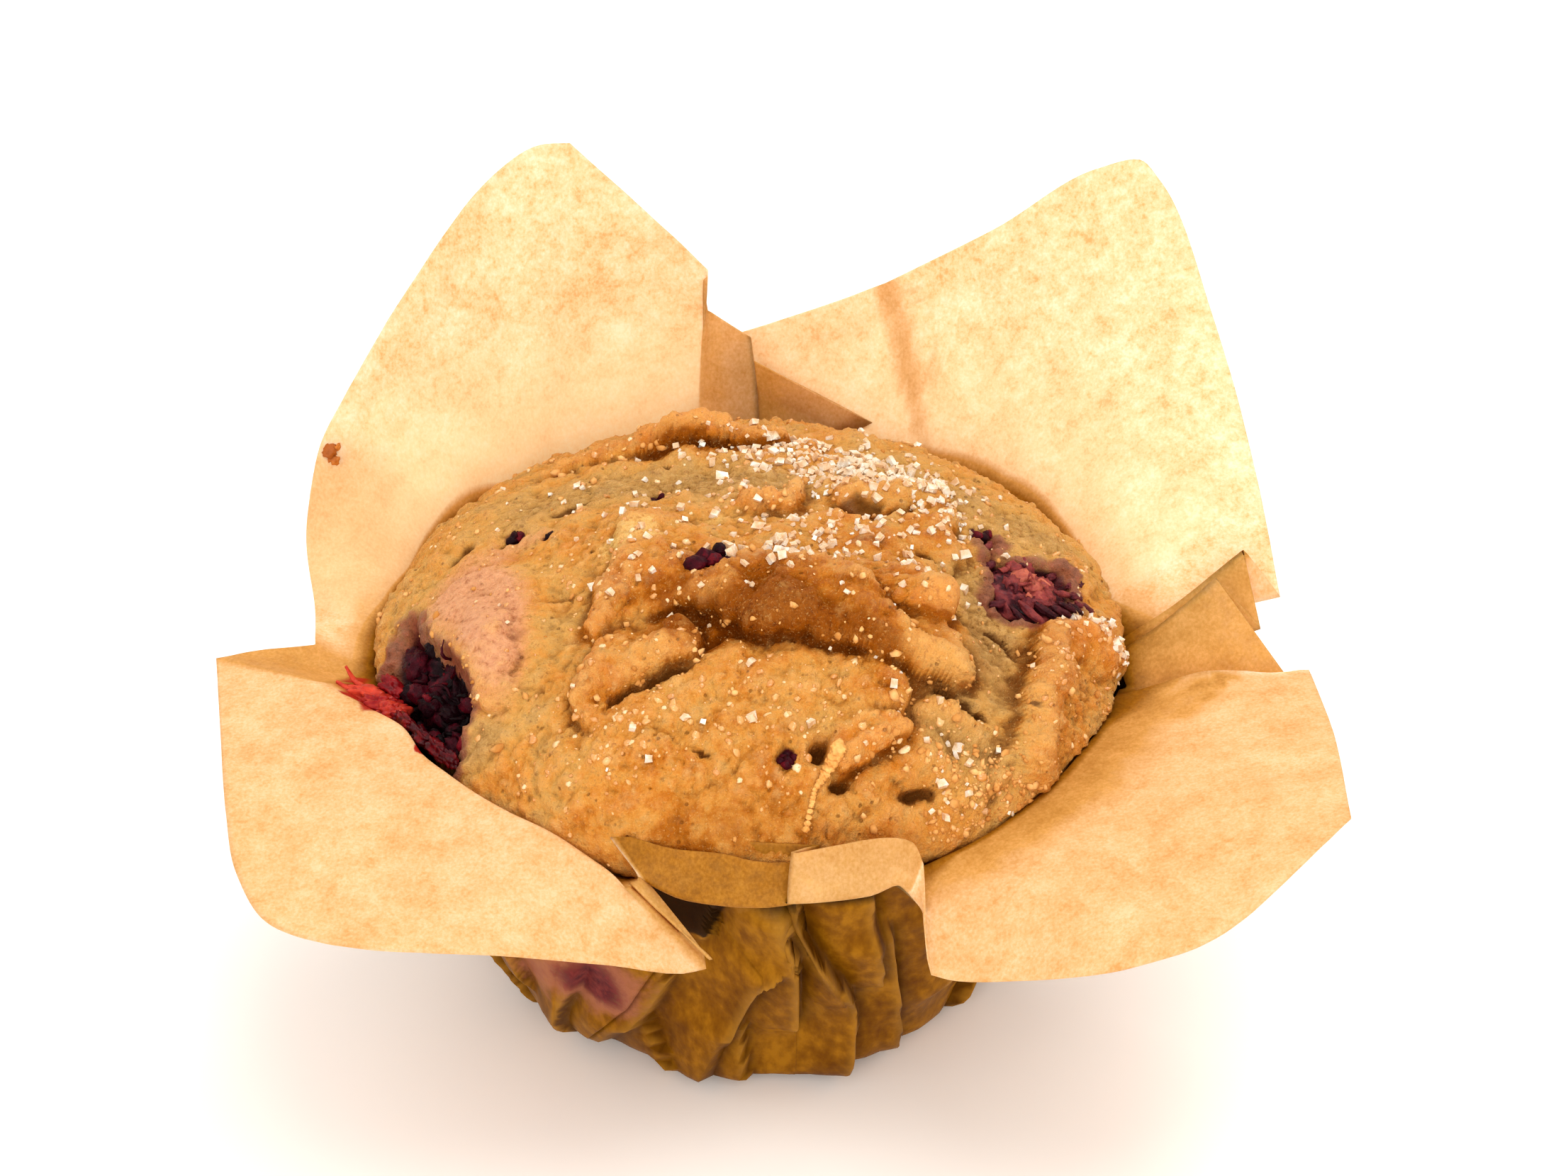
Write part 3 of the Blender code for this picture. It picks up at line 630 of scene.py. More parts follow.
    # the far left edge of the back left petal is more golden
    extra = np.maximum(extra, 0.24 * (1 - smooth(6, 16, np.linalg.norm(flat - (-47.5, 14.0, 42.0), axis=1) + 3 * blotch)) * (uu > 140) * (uu < 175) * on_petal)
    # painted light: the foot of each back petal, in the shaded groove beside the crown, is drawn paler
    low = (1 - smooth(4, 26, off)) * on_petal * (uu > 18) * (uu < 172) * (1 - ((uu > 84) & (uu < 101))) * np.where(uu < 90, 0.6, 1.0)
    # the front petals are a little browner than the back ones
    extra = np.maximum(extra, (0.23 + 0.06 * blotch) * (uu > 189) * (uu < 252.2) * on_petal)
    extra = np.maximum(extra, (0.25 + 0.06 * blotch) * ((uu > 292) & (uu < 350.5)) * on_petal)
    grease = np.maximum(grease, extra)
    # painted shade: a near-black colour in the recess under the collar's left half, and a weaker one just under its
    # right half
    painted_recess_shade = smooth(1.0, -1.0, angle - 264 - 0.67 * (z - 27.5)) * smooth(25.4, 26.8, z) * smooth(247, 250, angle) * (row <= wall_end - 2)
    painted_recess_shade = np.maximum(painted_recess_shade, 0.75 * smooth(31.0, 33.5, z) * np.exp(-(((angle - 281) / 14) ** 4)) * (row <= wall_end + 2))
    # juice: purple through the wall at the left, red on the paper by the left berry
    juice = np.exp(-((np.linalg.norm((flat - (-15.5, -28.5, 16.5)) / (4.6, 5.0, 4.6), axis=1) + 0.35 * blotch) ** 2) * 0.75) * (row <= wall_end)
    juice = np.maximum(juice, 0.55 * np.exp(-((np.linalg.norm((flat - (-21.0, -23.5, 15.5)) / (5.0, 5.5, 5.5), axis=1) + 0.35 * blotch) ** 2) * 1.1) * (row <= wall_end))
    red = np.zeros(len(flat))
    for middle, size in (((-41.5, -11.0, 39.0), 3.0), ((-39.0, -14.0, 39.8), 2.6), ((-41.6, -6.5, 38.6), 1.6), ((-33.5, -22.5, 40.4), 1.5), ((-31.0, -25.0, 40.2), 1.3)):
        d = np.linalg.norm(flat - middle, axis=1) / size + 0.5 * fbm(flat, 2.2, 2, 31)
        red = np.maximum(red, (1 - smooth(0.7, 1.05, d)) * (row > wall_end - 3) * (row < wall_end + 11))

    faces = []
    index = np.arange(ribs * count).reshape(ribs, count)
    nxt = np.roll(index, -1, 0)
    quads = np.stack([index[:, :-1], nxt[:, :-1], nxt[:, 1:], index[:, 1:]], -1).reshape(-1, 4)
    middle = len(moved)
    moved = np.vstack([moved, [0, 0, SHEET / 2]])
    fan = np.stack([np.full(ribs, middle), nxt[:, 0], index[:, 0]], 1)
    pad = lambda v: np.append(v, v[0])
    piece = build(
        "case_paper",
        moved,
        [quads, fan],
        {
            "grease": pad(np.clip(grease, 0, 1)),
            "juice": pad(np.clip(juice, 0, 1)),
            "red": pad(np.clip(red, 0, 1)),
            "painted_recess_shade": pad(painted_recess_shade),
            "foot": pad(lap_painted_shadow * (row <= wall_end)),
            "brow": pad(lap_painted_highlight * (row <= wall_end)),
            "low": pad(low),
            "wallness": np.append(1 - smooth(wall_end - 3, wall_end + 1.5, row), 1.0),
        },
    )
    thick = piece.modifiers.new("Sheet", "SOLIDIFY")
    thick.thickness = SHEET * MM
    thick.offset = 0.0
    thick.use_even_offset = False

    m = Nodes("baking_paper")
    grease_a, juice_a, red_a, wall_a = (m.attribute(k) for k in ("grease", "juice", "red", "wallness"))
    painted_recess_shade = m.attribute("painted_recess_shade")
    mottle = m.noise(4.2, 5.0, 0.62, 0.2, (0.85, 0.9, 1.0))
    cloud = m.noise(1.2, 4.0, 0.65)
    fibre = m.noise(0.34, 3.0, 0.6, 0.0, (1.0, 1.0, 0.8))
    tone = m.math("ADD", m.math("MULTIPLY", mottle, 0.32), m.math("MULTIPLY", cloud, 0.36))
    tone = m.math("ADD", tone, m.math("MULTIPLY", fibre, 0.32))
    clean = m.ramp(tone, [(0.38, linear(238, 188, 122)), (0.46, linear(250, 213, 160)), (0.53, linear(254, 227, 186)), (0.62, linear(255, 243, 218))])
    # painted light on the foot of the back petals
    clean = m.mix(m.math("MULTIPLY", m.attribute("low"), 0.55), clean, linear(255, 240, 200))
    browned = m.ramp(tone, [(0.38, linear(206, 148, 66)), (0.50, linear(222, 168, 86)), (0.62, linear(238, 188, 112))])
    oily = m.ramp(tone, [(0.38, linear(150, 90, 10)), (0.50, linear(184, 118, 24)), (0.62, linear(210, 146, 48))])
    wall_tone = m.math("ADD", m.math("MULTIPLY", m.noise(8.0, 3.0, 0.55, 0.0, (1.0, 1.0, 0.55)), 0.6), m.math("MULTIPLY", m.noise(1.0, 3.0, 0.6, 0.0, (1.0, 1.0, 0.55)), 0.4))
    dirty = m.ramp(wall_tone, [(0.36, linear(94, 52, 2)), (0.50, linear(121, 73, 5)), (0.64, linear(150, 97, 14))])
    # painted highlight along each lap's edge, then painted shadow just below it
    dirty = m.mix(m.math("MULTIPLY", m.attribute("brow"), 0.40), dirty, linear(190, 136, 52))
    dirty = m.mix(m.math("MULTIPLY", m.attribute("foot"), 0.75), dirty, linear(64, 32, 1))
    oily = m.mix(wall_a, oily, dirty)
    spread = m.math("ADD", grease_a, m.math("MULTIPLY", m.math("SUBTRACT", cloud, 0.5), 0.30), clamp=True)
    spread = m.math("MAXIMUM", spread, wall_a)
    colour = m.mix(m.math("MULTIPLY", spread, 2.0, clamp=True), clean, browned)
    colour = m.mix(m.math("SUBTRACT", m.math("MULTIPLY", spread, 2.0), 1.0, clamp=True), colour, oily)
    # painted shade in the recess under the collar
    colour = m.mix(m.range(painted_recess_shade, 0.25, 0.75, 0.0, 0.95), colour, linear(32, 13, 0))
    juicy = m.ramp(cloud, [(0.3, linear(58, 12, 24)), (0.7, linear(122, 48, 44))])
    soaked = m.math("ADD", juice_a, m.math("MULTIPLY", m.math("SUBTRACT", cloud, 0.5), 0.5))
    colour = m.mix(m.range(soaked, 0.12, 0.5, 0.0, 0.75), colour, linear(160, 96, 72))
    colour = m.mix(m.range(soaked, 0.42, 0.85), colour, juicy)
    colour = m.mix(m.range(red_a, 0.2, 0.8), colour, linear(186, 40, 22))
    rough = m.range(grease_a, 0.0, 1.0, 0.62, 0.40)
    height = m.math("ADD", m.math("MULTIPLY", fibre, 0.35), m.math("MULTIPLY", cloud, 0.65))
    bump = m.bump(height, 0.10, 0.5)
    paper = m.shader(Base_Color=colour, Roughness=rough, Normal=bump, Specular_IOR_Level=m.range(wall_a, 0.0, 1.0, 0.16, 0.03))
    through = m.tree.nodes.new("ShaderNodeBsdfTranslucent")
    m.put(through.inputs["Color"], colour)
    m.put(through.inputs["Normal"], bump)
    both = m.tree.nodes.new("ShaderNodeMixShader")
    m.put(both.inputs["Fac"], m.range(wall_a, 0.0, 1.0, 0.42, 0.06))
    m.put(both.inputs[1], paper)
    m.put(both.inputs[2], through.outputs["BSDF"])
    piece.data.materials.append(m.finish(both.outputs["Shader"]))
    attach(piece, "root")
    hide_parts("paper_case")
    # the wall alone, which the crust has to stay inside
    return moved, quads.reshape(ribs, count - 1, 4)[:, 4:wall_end].reshape(-1, 4)


# ================================================================ the cake

CROWN_R, CROWN_Z, CROWN_RISE = 39.2, 36.8, 16.6
NECK_R, NECK_Z = 35.4, 31.5


def outline(x, y, rows):
    """For points x, y in plan: the signed distance to the closed outline (inside is positive), the way to its nearest
    place, and the other columns of rows there."""
    rows = np.asarray(rows, float)
    best = np.full(len(x), 1e9)
    nx, ny = np.zeros(len(x)), np.zeros(len(x))
    extra = np.zeros((len(x), rows.shape[1] - 2))
    inside = np.zeros(len(x), bool)
    for a, b in zip(rows, np.roll(rows, -1, 0)):
        ex, ey = b[0] - a[0], b[1] - a[1]
        t = np.clip(((x - a[0]) * ex + (y - a[1]) * ey) / max(ex * ex + ey * ey, 1e-9), 0, 1)
        qx, qy = a[0] + t * ex, a[1] + t * ey
        d = np.hypot(x - qx, y - qy)
        near = d < best
        best = np.where(near, d, best)
        nx, ny = np.where(near, qx - x, nx), np.where(near, qy - y, ny)
        extra = np.where(near[:, None], a[2:] + t[:, None] * (b[2:] - a[2:]), extra)
        crosses = ((a[1] > y) != (b[1] > y)) & (x < (b[0] - a[0]) * (y - a[1]) / (b[1] - a[1] if b[1] != a[1] else 1e-9) + a[0])
        inside ^= crosses
    size = np.maximum(np.hypot(nx, ny), 1e-6)
    sign = np.where(inside, 1.0, -1.0)
    return best * sign, nx / size * sign, ny / size * sign, extra


def rounded(rows, times=1):
    """The outline with its corners cut, so that crust breaks look torn and not sawn."""
    rows = np.asarray(rows, float)
    for _ in range(times):
        after = np.roll(rows, -1, 0)
        rows = np.stack([0.78 * rows + 0.22 * after, 0.22 * rows + 0.78 * after], 1).reshape(-1, rows.shape[1])
    return rows


# Plates of crust: name: (how far in from its edge a plate merges with the dome, outline of
# (x, y, height of the broken edge, overhang)), seen from above, in mm.
PLATES = {
    "ridge": (
        15.0,
        [
            (-14.1, -0.9, 1.1, 0.3), (-11.6, 1.6, 0.9, 0.1), (-8.5, 2.0, 0.9, 0.1), (-6.2, 1.2, 0.9, 0.0), (-5.3, -1.6, 0.4, 0.0),
            (-2.4, -1.0, 0.3, 0.0), (4.3, 1.0, 0.4, 0.0), (8.6, 3.4, 0.7, 0.2), (10.5, 1.4, 0.9, 0.4), (15.0, 2.6, 0.8, 0.3),
            (20.5, 7.6, 1.2, 0.3), (22.0, 5.2, 1.5, 0.5), (21.3, 1.6, 1.3, 0.4), (23.4, 0.8, 1.0, 0.3), (22.6, -2.2, 1.0, 0.3),
            (19.4, -5.4, 0.7, 0.2), (18.6, -8.4, 0.9, 0.3), (20.8, -12.4, 1.9, 0.9), (19.6, -14.8, 1.3, 0.6), (21.8, -16.4, 1.7, 0.6),
            (23.2, -18.4, 2.2, 0.8), (21.8, -20.6, 2.5, 1.0), (16.3, -20.9, 2.6, 1.4), (11.9, -20.2, 2.8, 1.6), (8.4, -19.2, 3.0, 1.9),
            (5.2, -18.3, 3.1, 2.0), (0.8, -18.6, 3.0, 1.8), (-1.4, -17.2, 2.6, 1.5), (-3.6, -14.9, 2.2, 1.1), (-6.0, -13.6, 1.6, 0.6),
            (-8.8, -14.3, 1.0, 0.3), (-11.5, -15.6, 0.6, 0.0), (-15.2, -17.2, 1.0, 0.3), (-16.5, -15.6, 1.5, 0.5), (-15.7, -12.2, 1.7, 0.6),
            (-15.6, -9.5, 1.5, 0.5), (-14.4, -8.0, 1.3, 0.4), (-12.8, -4.6, 1.1, 0.3),
        ],
    ),
    "lip": (
        8.0,
        [
            (6.0, -9.0, 0.0, 0.0), (12.0, -7.6, 0.5, 0.1), (18.6, -8.2, 0.9, 0.3), (20.9, -12.3, 1.6, 0.9), (19.7, -14.6, 1.5, 0.8),
            (16.0, -14.4, 1.2, 0.7), (12.0, -13.6, 0.9, 0.5), (8.0, -13.2, 0.5, 0.2),
        ],
    ),
    "crescent": (
        9.0,
        [
            (-14.9, -27.4, 0.6, 0.1), (-16.6, -25.4, 1.2, 0.3), (-17.6, -23.6, 1.7, 0.5), (-16.9, -21.6, 1.9, 0.5), (-16.2, -19.4, 1.8, 0.4),
            (-14.4, -17.2, 1.2, 0.2), (-11.2, -15.3, 0.6, 0.0), (-8.8, -14.8, 0.5, 0.0), (-6.4, -15.2, 0.9, 0.2), (-5.4, -16.8, 1.3, 0.4),
            (-4.2, -19.2, 1.5, 0.8), (-5.4, -20.7, 1.7, 1.0), (-7.6, -21.6, 1.8, 1.1), (-10.2, -22.6, 1.8, 1.1), (-12.6, -23.4, 1.6, 1.0),
            (-13.4, -24.8, 1.2, 0.5),
        ],
    ),
    "top_flake": (
        6.0,
        [
            (-1.0, 6.5, 0.9, 0.2), (1.5, 7.0, 0.8, 0.1), (3.6, 7.6, 0.8, 0.2), (5.6, 9.8, 1.3, 0.4), (6.2, 6.8, 1.4, 0.5),
            (5.0, 3.2, 1.2, 0.6), (1.4, 2.4, 1.2, 0.6), (-1.6, 3.6, 1.0, 0.4),
        ],
    ),
    "sugar_knoll": (
        8.0,
        [
            (8.6, 6.8, 1.2, 0.3), (11.0, 9.8, 0.7, 0.0), (16.0, 12.4, 0.6, 0.0), (20.6, 12.0, 1.2, 0.3), (22.0, 8.8, 1.4, 0.5),
            (19.4, 5.6, 1.2, 0.5), (15.6, 4.4, 1.2, 0.8), (11.2, 3.4, 1.4, 1.0), (8.8, 4.6, 1.4, 0.7),
        ],
    ),
    "back_ridge": (
        4.6,
        [
            (-24.0, 19.0, 0.6, 0.1), (-20.0, 23.5, 0.4, 0.0), (-14.5, 26.5, 0.3, 0.0), (-9.0, 28.0, 0.3, 0.0), (-3.0, 27.5, 0.3, 0.0),
            (2.6, 25.0, 0.4, 0.0), (4.6, 22.0, 1.0, 0.3), (3.0, 20.6, 1.5, 0.8), (-1.0, 20.8, 1.7, 1.1), (-4.5, 21.6, 2.2, 1.4),
            (-8.5, 20.6, 2.2, 1.4), (-12.0, 20.2, 1.3, 0.9), (-16.0, 19.8, 1.0, 0.6), (-20.5, 18.8, 0.9, 0.4),
        ],
    ),
    "rim_plate": (
        5.5,
        [
            (29.6, -10.4, 1.9, 0.6), (31.4, -8.0, 1.6, 0.4), (34.0, -5.6, 1.4, 0.3), (36.6, -2.8, 1.2, 0.2), (41.5, -1.0, 0.5, 0.0),
            (41.5, -20.0, 0.0, 0.0), (33.0, -30.0, 0.0, 0.0), (26.0, -32.0, 0.3, 0.0), (24.6, -28.0, 0.8, 0.2), (26.8, -24.4, 1.4, 0.4),
            (27.8, -21.4, 1.6, 0.5), (28.0, -17.6, 1.7, 0.6), (29.4, -13.8, 1.8, 0.6),
        ],
    ),
    "front_flake": (
        5.0,
        [
            (17.0, -25.8, 1.2, 0.9), (13.8, -26.6, 0.8, 0.2), (11.0, -27.4, 0.6, 0.0), (8.4, -28.4, 0.6, 0.0), (7.8, -31.0, 0.8, 0.3),
            (8.6, -32.4, 1.0, 0.5), (10.6, -31.8, 1.3, 0.9), (13.2, -29.8, 1.4, 1.1), (15.4, -27.9, 1.4, 1.1),
        ],
    ),
    "front_lobe": (
        9.0,
        [
            (-12.6, -23.6, 0.4, 0.0), (-9.0, -21.6, 0.5, 0.0), (-4.0, -19.6, 0.6, 0.0), (2.0, -18.0, 0.8, 0.0), (9.0, -18.6, 0.9, 0.0),
            (14.5, -20.6, 1.3, 0.2), (16.8, -22.8, 1.4, 0.5), (15.6, -25.2, 0.9, 0.2), (16.0, -31.0, 0.0, 0.0), (10.0, -39.0, 0.0, 0.0),
            (-12.0, -38.0, 0.0, 0.0), (-18.0, -32.0, 0.0, 0.0), (-15.0, -27.0, 0.2, 0.0),
        ],
    ),
    "right_step": (
        5.0,
        [
            (17.4, -22.4, 0.9, 0.3), (21.6, -23.6, 0.8, 0.2), (24.8, -24.6, 0.6, 0.1), (25.4, -27.5, 0.3, 0.0), (20.0, -33.0, 0.0, 0.0),
            (13.0, -35.0, 0.2, 0.0), (10.4, -33.4, 0.6, 0.1), (13.6, -30.4, 0.3, 0.0), (16.6, -27.0, 0.4, 0.0),
        ],
    ),
    "left_shoulder": (
        8.0,
        [
            (-27.0, -21.0, 0.9, 0.2), (-27.6, -17.0, 1.2, 0.3), (-29.8, -12.6, 1.2, 0.3), (-32.2, -9.4, 0.9, 0.2), (-33.6, -5.0, 0.7, 0.1),
            (-31.2, -1.4, 0.6, 0.0), (-26.0, -0.4, 0.2, 0.0), (-20.0, -6.0, 0.0, 0.0), (-19.0, -16.0, 0.0, 0.0), (-22.0, -23.0, 0.2, 0.0),
        ],
    ),
}

# Torn hollows round the two whole berries: (depth, outline), and small pits: (x, y, half length, half width, turn, depth).
HOLLOWS = {
    "berry_left": (6.4, [(-35.6, -1.6), (-33.8, -6.4), (-32.0, -9.8), (-30.2, -13.2), (-27.8, -17.4), (-27.4, -20.8), (-28.6, -22.6), (-29.0, -24.4), (-31.4, -26.4), (-36.0, -22.0), (-39.6, -14.0), (-38.6, -8.5), (-37.0, -5.0)]),
    "berry_right": (3.6, [(24.6, 5.0), (26.8, 5.2), (26.6, 2.2), (28.3, 1.6), (30.4, 3.2), (33.2, 3.4), (34.0, 1.4), (34.4, -1.8), (32.8, -6.0), (30.4, -8.6), (27.8, -8.6), (25.9, -7.4), (25.2, -4.6), (25.4, -0.4)]),
}
PITS = [
    (7.2, -30.9, 1.15, 0.95, 20, 2.4), (8.9, -33.2, 1.35, 0.6, 20, 2.0), (-4.6, -31.6, 1.1, 0.4, -15, 1.0),
    (17.1, -32.4, 2.0, 0.8, 30, 1.6), (23.8, -22.9, 1.2, 0.7, -30, 1.3), (-25.5, 4.2, 1.6, 0.6, 35, 1.2), (-12.3, -24.2, 1.6, 0.9, 25, 1.6),
    (11.6, 4.2, 3.0, 0.8, 15, 1.6), (-9.6, 15.6, 1.4, 0.7, -20, 1.1), (-8.4, -22.9, 3.4, 0.6, 20, 0.9), (21.0, -22.0, 2.6, 0.7, -12, 1.4),
    (-30.6, 5.0, 2.0, 0.7, 60, 1.0), (18.6, -3.4, 1.0, 0.5, -20, 0.8), (27.0, -12.4, 2.2, 0.6, -50, 1.0), (-19.5, 9.0, 2.6, 0.6, 25, 0.7),
    (-20.2, -9.4, 0.35, 0.35, 0, 0.8), (-16.6, -3.2, 0.4, 0.4, 0, 0.8), (34.6, -14.4, 0.4, 0.4, 0, 0.8), (28.5, -20.5, 0.5, 0.4, 0, 0.9),
]
BITS = [(-3.6, -9.0, 2.6), (3.9, -31.9, 1.5), (-10.2, 8.6, 1.2), (-25.2, 5.6, 1.6), (-21.4, 3.2, 1.0), (24.8, 5.4, 1.6)]


def dome(x, y):
    """The plain crown over the point x, y: its height, and its outward normal."""
    k = np.clip(1 - (x * x + y * y) / CROWN_R**2, 0, 1)
    z = CROWN_Z + CROWN_RISE * np.sqrt(k)
    n = np.stack([x / CROWN_R**2, y / CROWN_R**2, (z - CROWN_Z) / CROWN_RISE**2 + 1e-9], -1)
    return z, n / np.linalg.norm(n, axis=-1, keepdims=True)


def blob(x, y, px, py, sx, sy, turn=0.0):
    """A soft spot on the crown, seen from above."""
    c, s = math.cos(math.radians(turn)), math.sin(math.radians(turn))
    u, v = (x - px) * c + (y - py) * s, -(x - px) * s + (y - py) * c
    return np.exp(-((u / sx) ** 2) - ((v / sy) ** 2))


def crown_forms(p, x, y):
    """The torn plates and hollows of the crown over plan x, y: height above the dome, sideways shift, and masks."""
    count = len(x)
    # outlines wander, so that edges look torn
    wx = x + 0.55 * noise(p, 3.6, 41) + 0.40 * noise(p, 1.5, 42)
    wy = y + 0.55 * noise(p, 3.6, 43) + 0.40 * noise(p, 1.5, 44)
    vary = 1.0 + 0.4 * noise(p, 4.5, 47)
    high = np.zeros(count)
    shift = np.zeros((count, 2))
    toast, edge, shade = np.zeros(count), np.zeros(count), np.zeros(count)
    for name, (merge, rows) in PLATES.items():
        d, ox, oy, extra = outline(wx, wy, rounded(rows))
        tall, over = extra[:, 0] * vary, extra[:, 1]
        # a rolled edge: steep outside, rounded over within, then back down into the dome
        inside = smooth(-0.26, 0.22, d) * (0.70 + 0.30 * smooth(0.0, 1.8, d))
        keep = 1 - smooth(0.30, 1.0, np.clip(d, 0, None) / merge)
        high += 1.45 * tall * inside * keep
        high -= 0.35 * np.clip(tall, 0, 1.5) * np.exp(-((np.clip(-d, 0, None) / 1.1) ** 2)) * (d <= 0)
        lip = np.clip(1 - np.clip(d, 0, None) / 2.2, 0, 1) ** 1.4 * smooth(-0.05, 0.2, d)
        shift += np.stack([ox, oy], 1) * (0.75 * over * lip)[:, None]
        strong = smooth(0.3, 1.5, tall)
        edge = np.maximum(edge, strong * np.exp(-((np.clip(d, 0, None) / 0.9) ** 2)) * (d > -0.3))
        toast = np.maximum(toast, strong * keep * inside)
        shade = np.maximum(shade, strong * np.exp(-((np.clip(-d, 0, None) / 1.5) ** 2)) * (d <= 0.15))
    hollow, stain = np.zeros(count), np.zeros(count)
    for name, (depth, rows) in HOLLOWS.items():
        d, _, _, _ = outline(wx, wy, rounded([(*row, 0) for row in rows]))
        high -= depth * smooth(-0.4, 3.2, d)
        hollow = np.maximum(hollow, smooth(0.15, 1.3, d))
        stain = np.maximum(stain, np.exp(-((np.clip(-d, 0, None) / 1.5) ** 2)))
    pit = np.zeros(count)
    for px, py, long, wide, turn, depth in PITS:
        a = math.radians(turn)
        u = ((wx - px) * math.cos(a) + (wy - py) * math.sin(a)) / long
        v = (-(wx - px) * math.sin(a) + (wy - py) * math.cos(a)) / wide
        hole = 1 - smooth(0.45, 1.25, np.hypot(u, v))
        high -= depth * hole
        pit = np.maximum(pit, hole)
    bit = np.zeros(count)
    for px, py, size in BITS:
        d = np.hypot(wx - px, wy - py)
        high -= 0.7 * (1 - smooth(0.5, 1.1, d / size))
        stain = np.maximum(stain, 0.75 * np.exp(-((np.clip(d - size * 0.4, 0, None) / (0.55 * size)) ** 2)))
        bit = np.maximum(bit, 1 - smooth(0.35, 0.9, d / size))
    # broad forms: the hump of the central ridge, the bulging front, the troughs between
    high += 1.9 * blob(x, y, 4, -8.5, 15, 5.5, -4) + 1.3 * blob(x, y, -10, -3, 5, 5) + 1.0 * blob(x, y, 19, -14, 4.0, 3.0)
    high += 1.5 * blob(x, y, 0, -28, 13, 7.5) + 0.9 * blob(x, y, -14, -30, 6, 5)
    high -= 1.5 * blob(x, y, 25.2, -10, 3.4, 9.0, 4) - 0.5 * blob(x, y, 33, -14, 6, 9)
    high -= 1.1 * blob(x, y, -5, 11.5, 13, 3.6, 2)
    high += 0.8 * blob(x, y, -25, -10, 4.5, 8.0, 10) - 0.9 * blob(x, y, -19.5, -11, 2.2, 7.0, 12) - 0.6 * blob(x, y, -21, 8, 2.4, 5.5, -35)
    high += 0.9 * blob(x, y, 12, 8, 8, 4.0) - 0.8 * blob(x, y, 20, -26.5, 7.5, 1.8, -10) - 0.7 * blob(x, y, 17, -32.5, 5, 1.6, 10)
    # dough: puffs with creases between them, on top of slow swells
    swell = 0.75 * fbm(p, 11.0, 2, 51)
    puffs = 1.15 * (np.abs(noise(p, 6.8, 53)) - 0.25) + 0.75 * (np.abs(noise(p, 3.0, 54)) - 0.25)
    calm = np.clip(1 - 0.9 * blob(x, y, -27, -9, 6, 9) - 0.35 * blob(x, y, 33, -14, 5, 9), 0.2, 1)
    high += swell + puffs * calm
    return high, shift, toast, edge, shade, hollow, stain, pit, bit


def blur(values, times):
    for _ in range(times):
        pad = np.pad(values, 1, mode="edge")
        values = (pad[:-2, 1:-1] + pad[2:, 1:-1] + pad[1:-1, :-2] + pad[1:-1, 2:] + 2 * values) / 6
    return values


def sheet_normals(grid):
    n = np.cross(np.gradient(grid, axis=0), np.gradient(grid, axis=1))
    return n / np.maximum(np.linalg.norm(n, axis=-1, keepdims=True), 1e-9)


def inside_wall(points, near, wall):
    """The points, with those in near that stand in or past the paper wall, a little under its rim too, drawn in from it."""
    tree = BVHTree.FromPolygons(wall[0].tolist(), wall[1].tolist())
    points = points.copy()
    below = mix(0.15, 0.45, smooth(-20, -5, points[:, 1]))
    for k in np.nonzero(near)[0]:
        px, py, pz = points[k]
        radius = math.hypot(px, py)
        hit = tree.ray_cast((0.0, 0.0, pz - below[k]), (px / radius, py / radius, 0.0))[0]
        if hit is not None:
            most = math.hypot(hit[0], hit[1]) - 0.35
            if radius > most:
                points[k, :2] *= most / radius
    return points


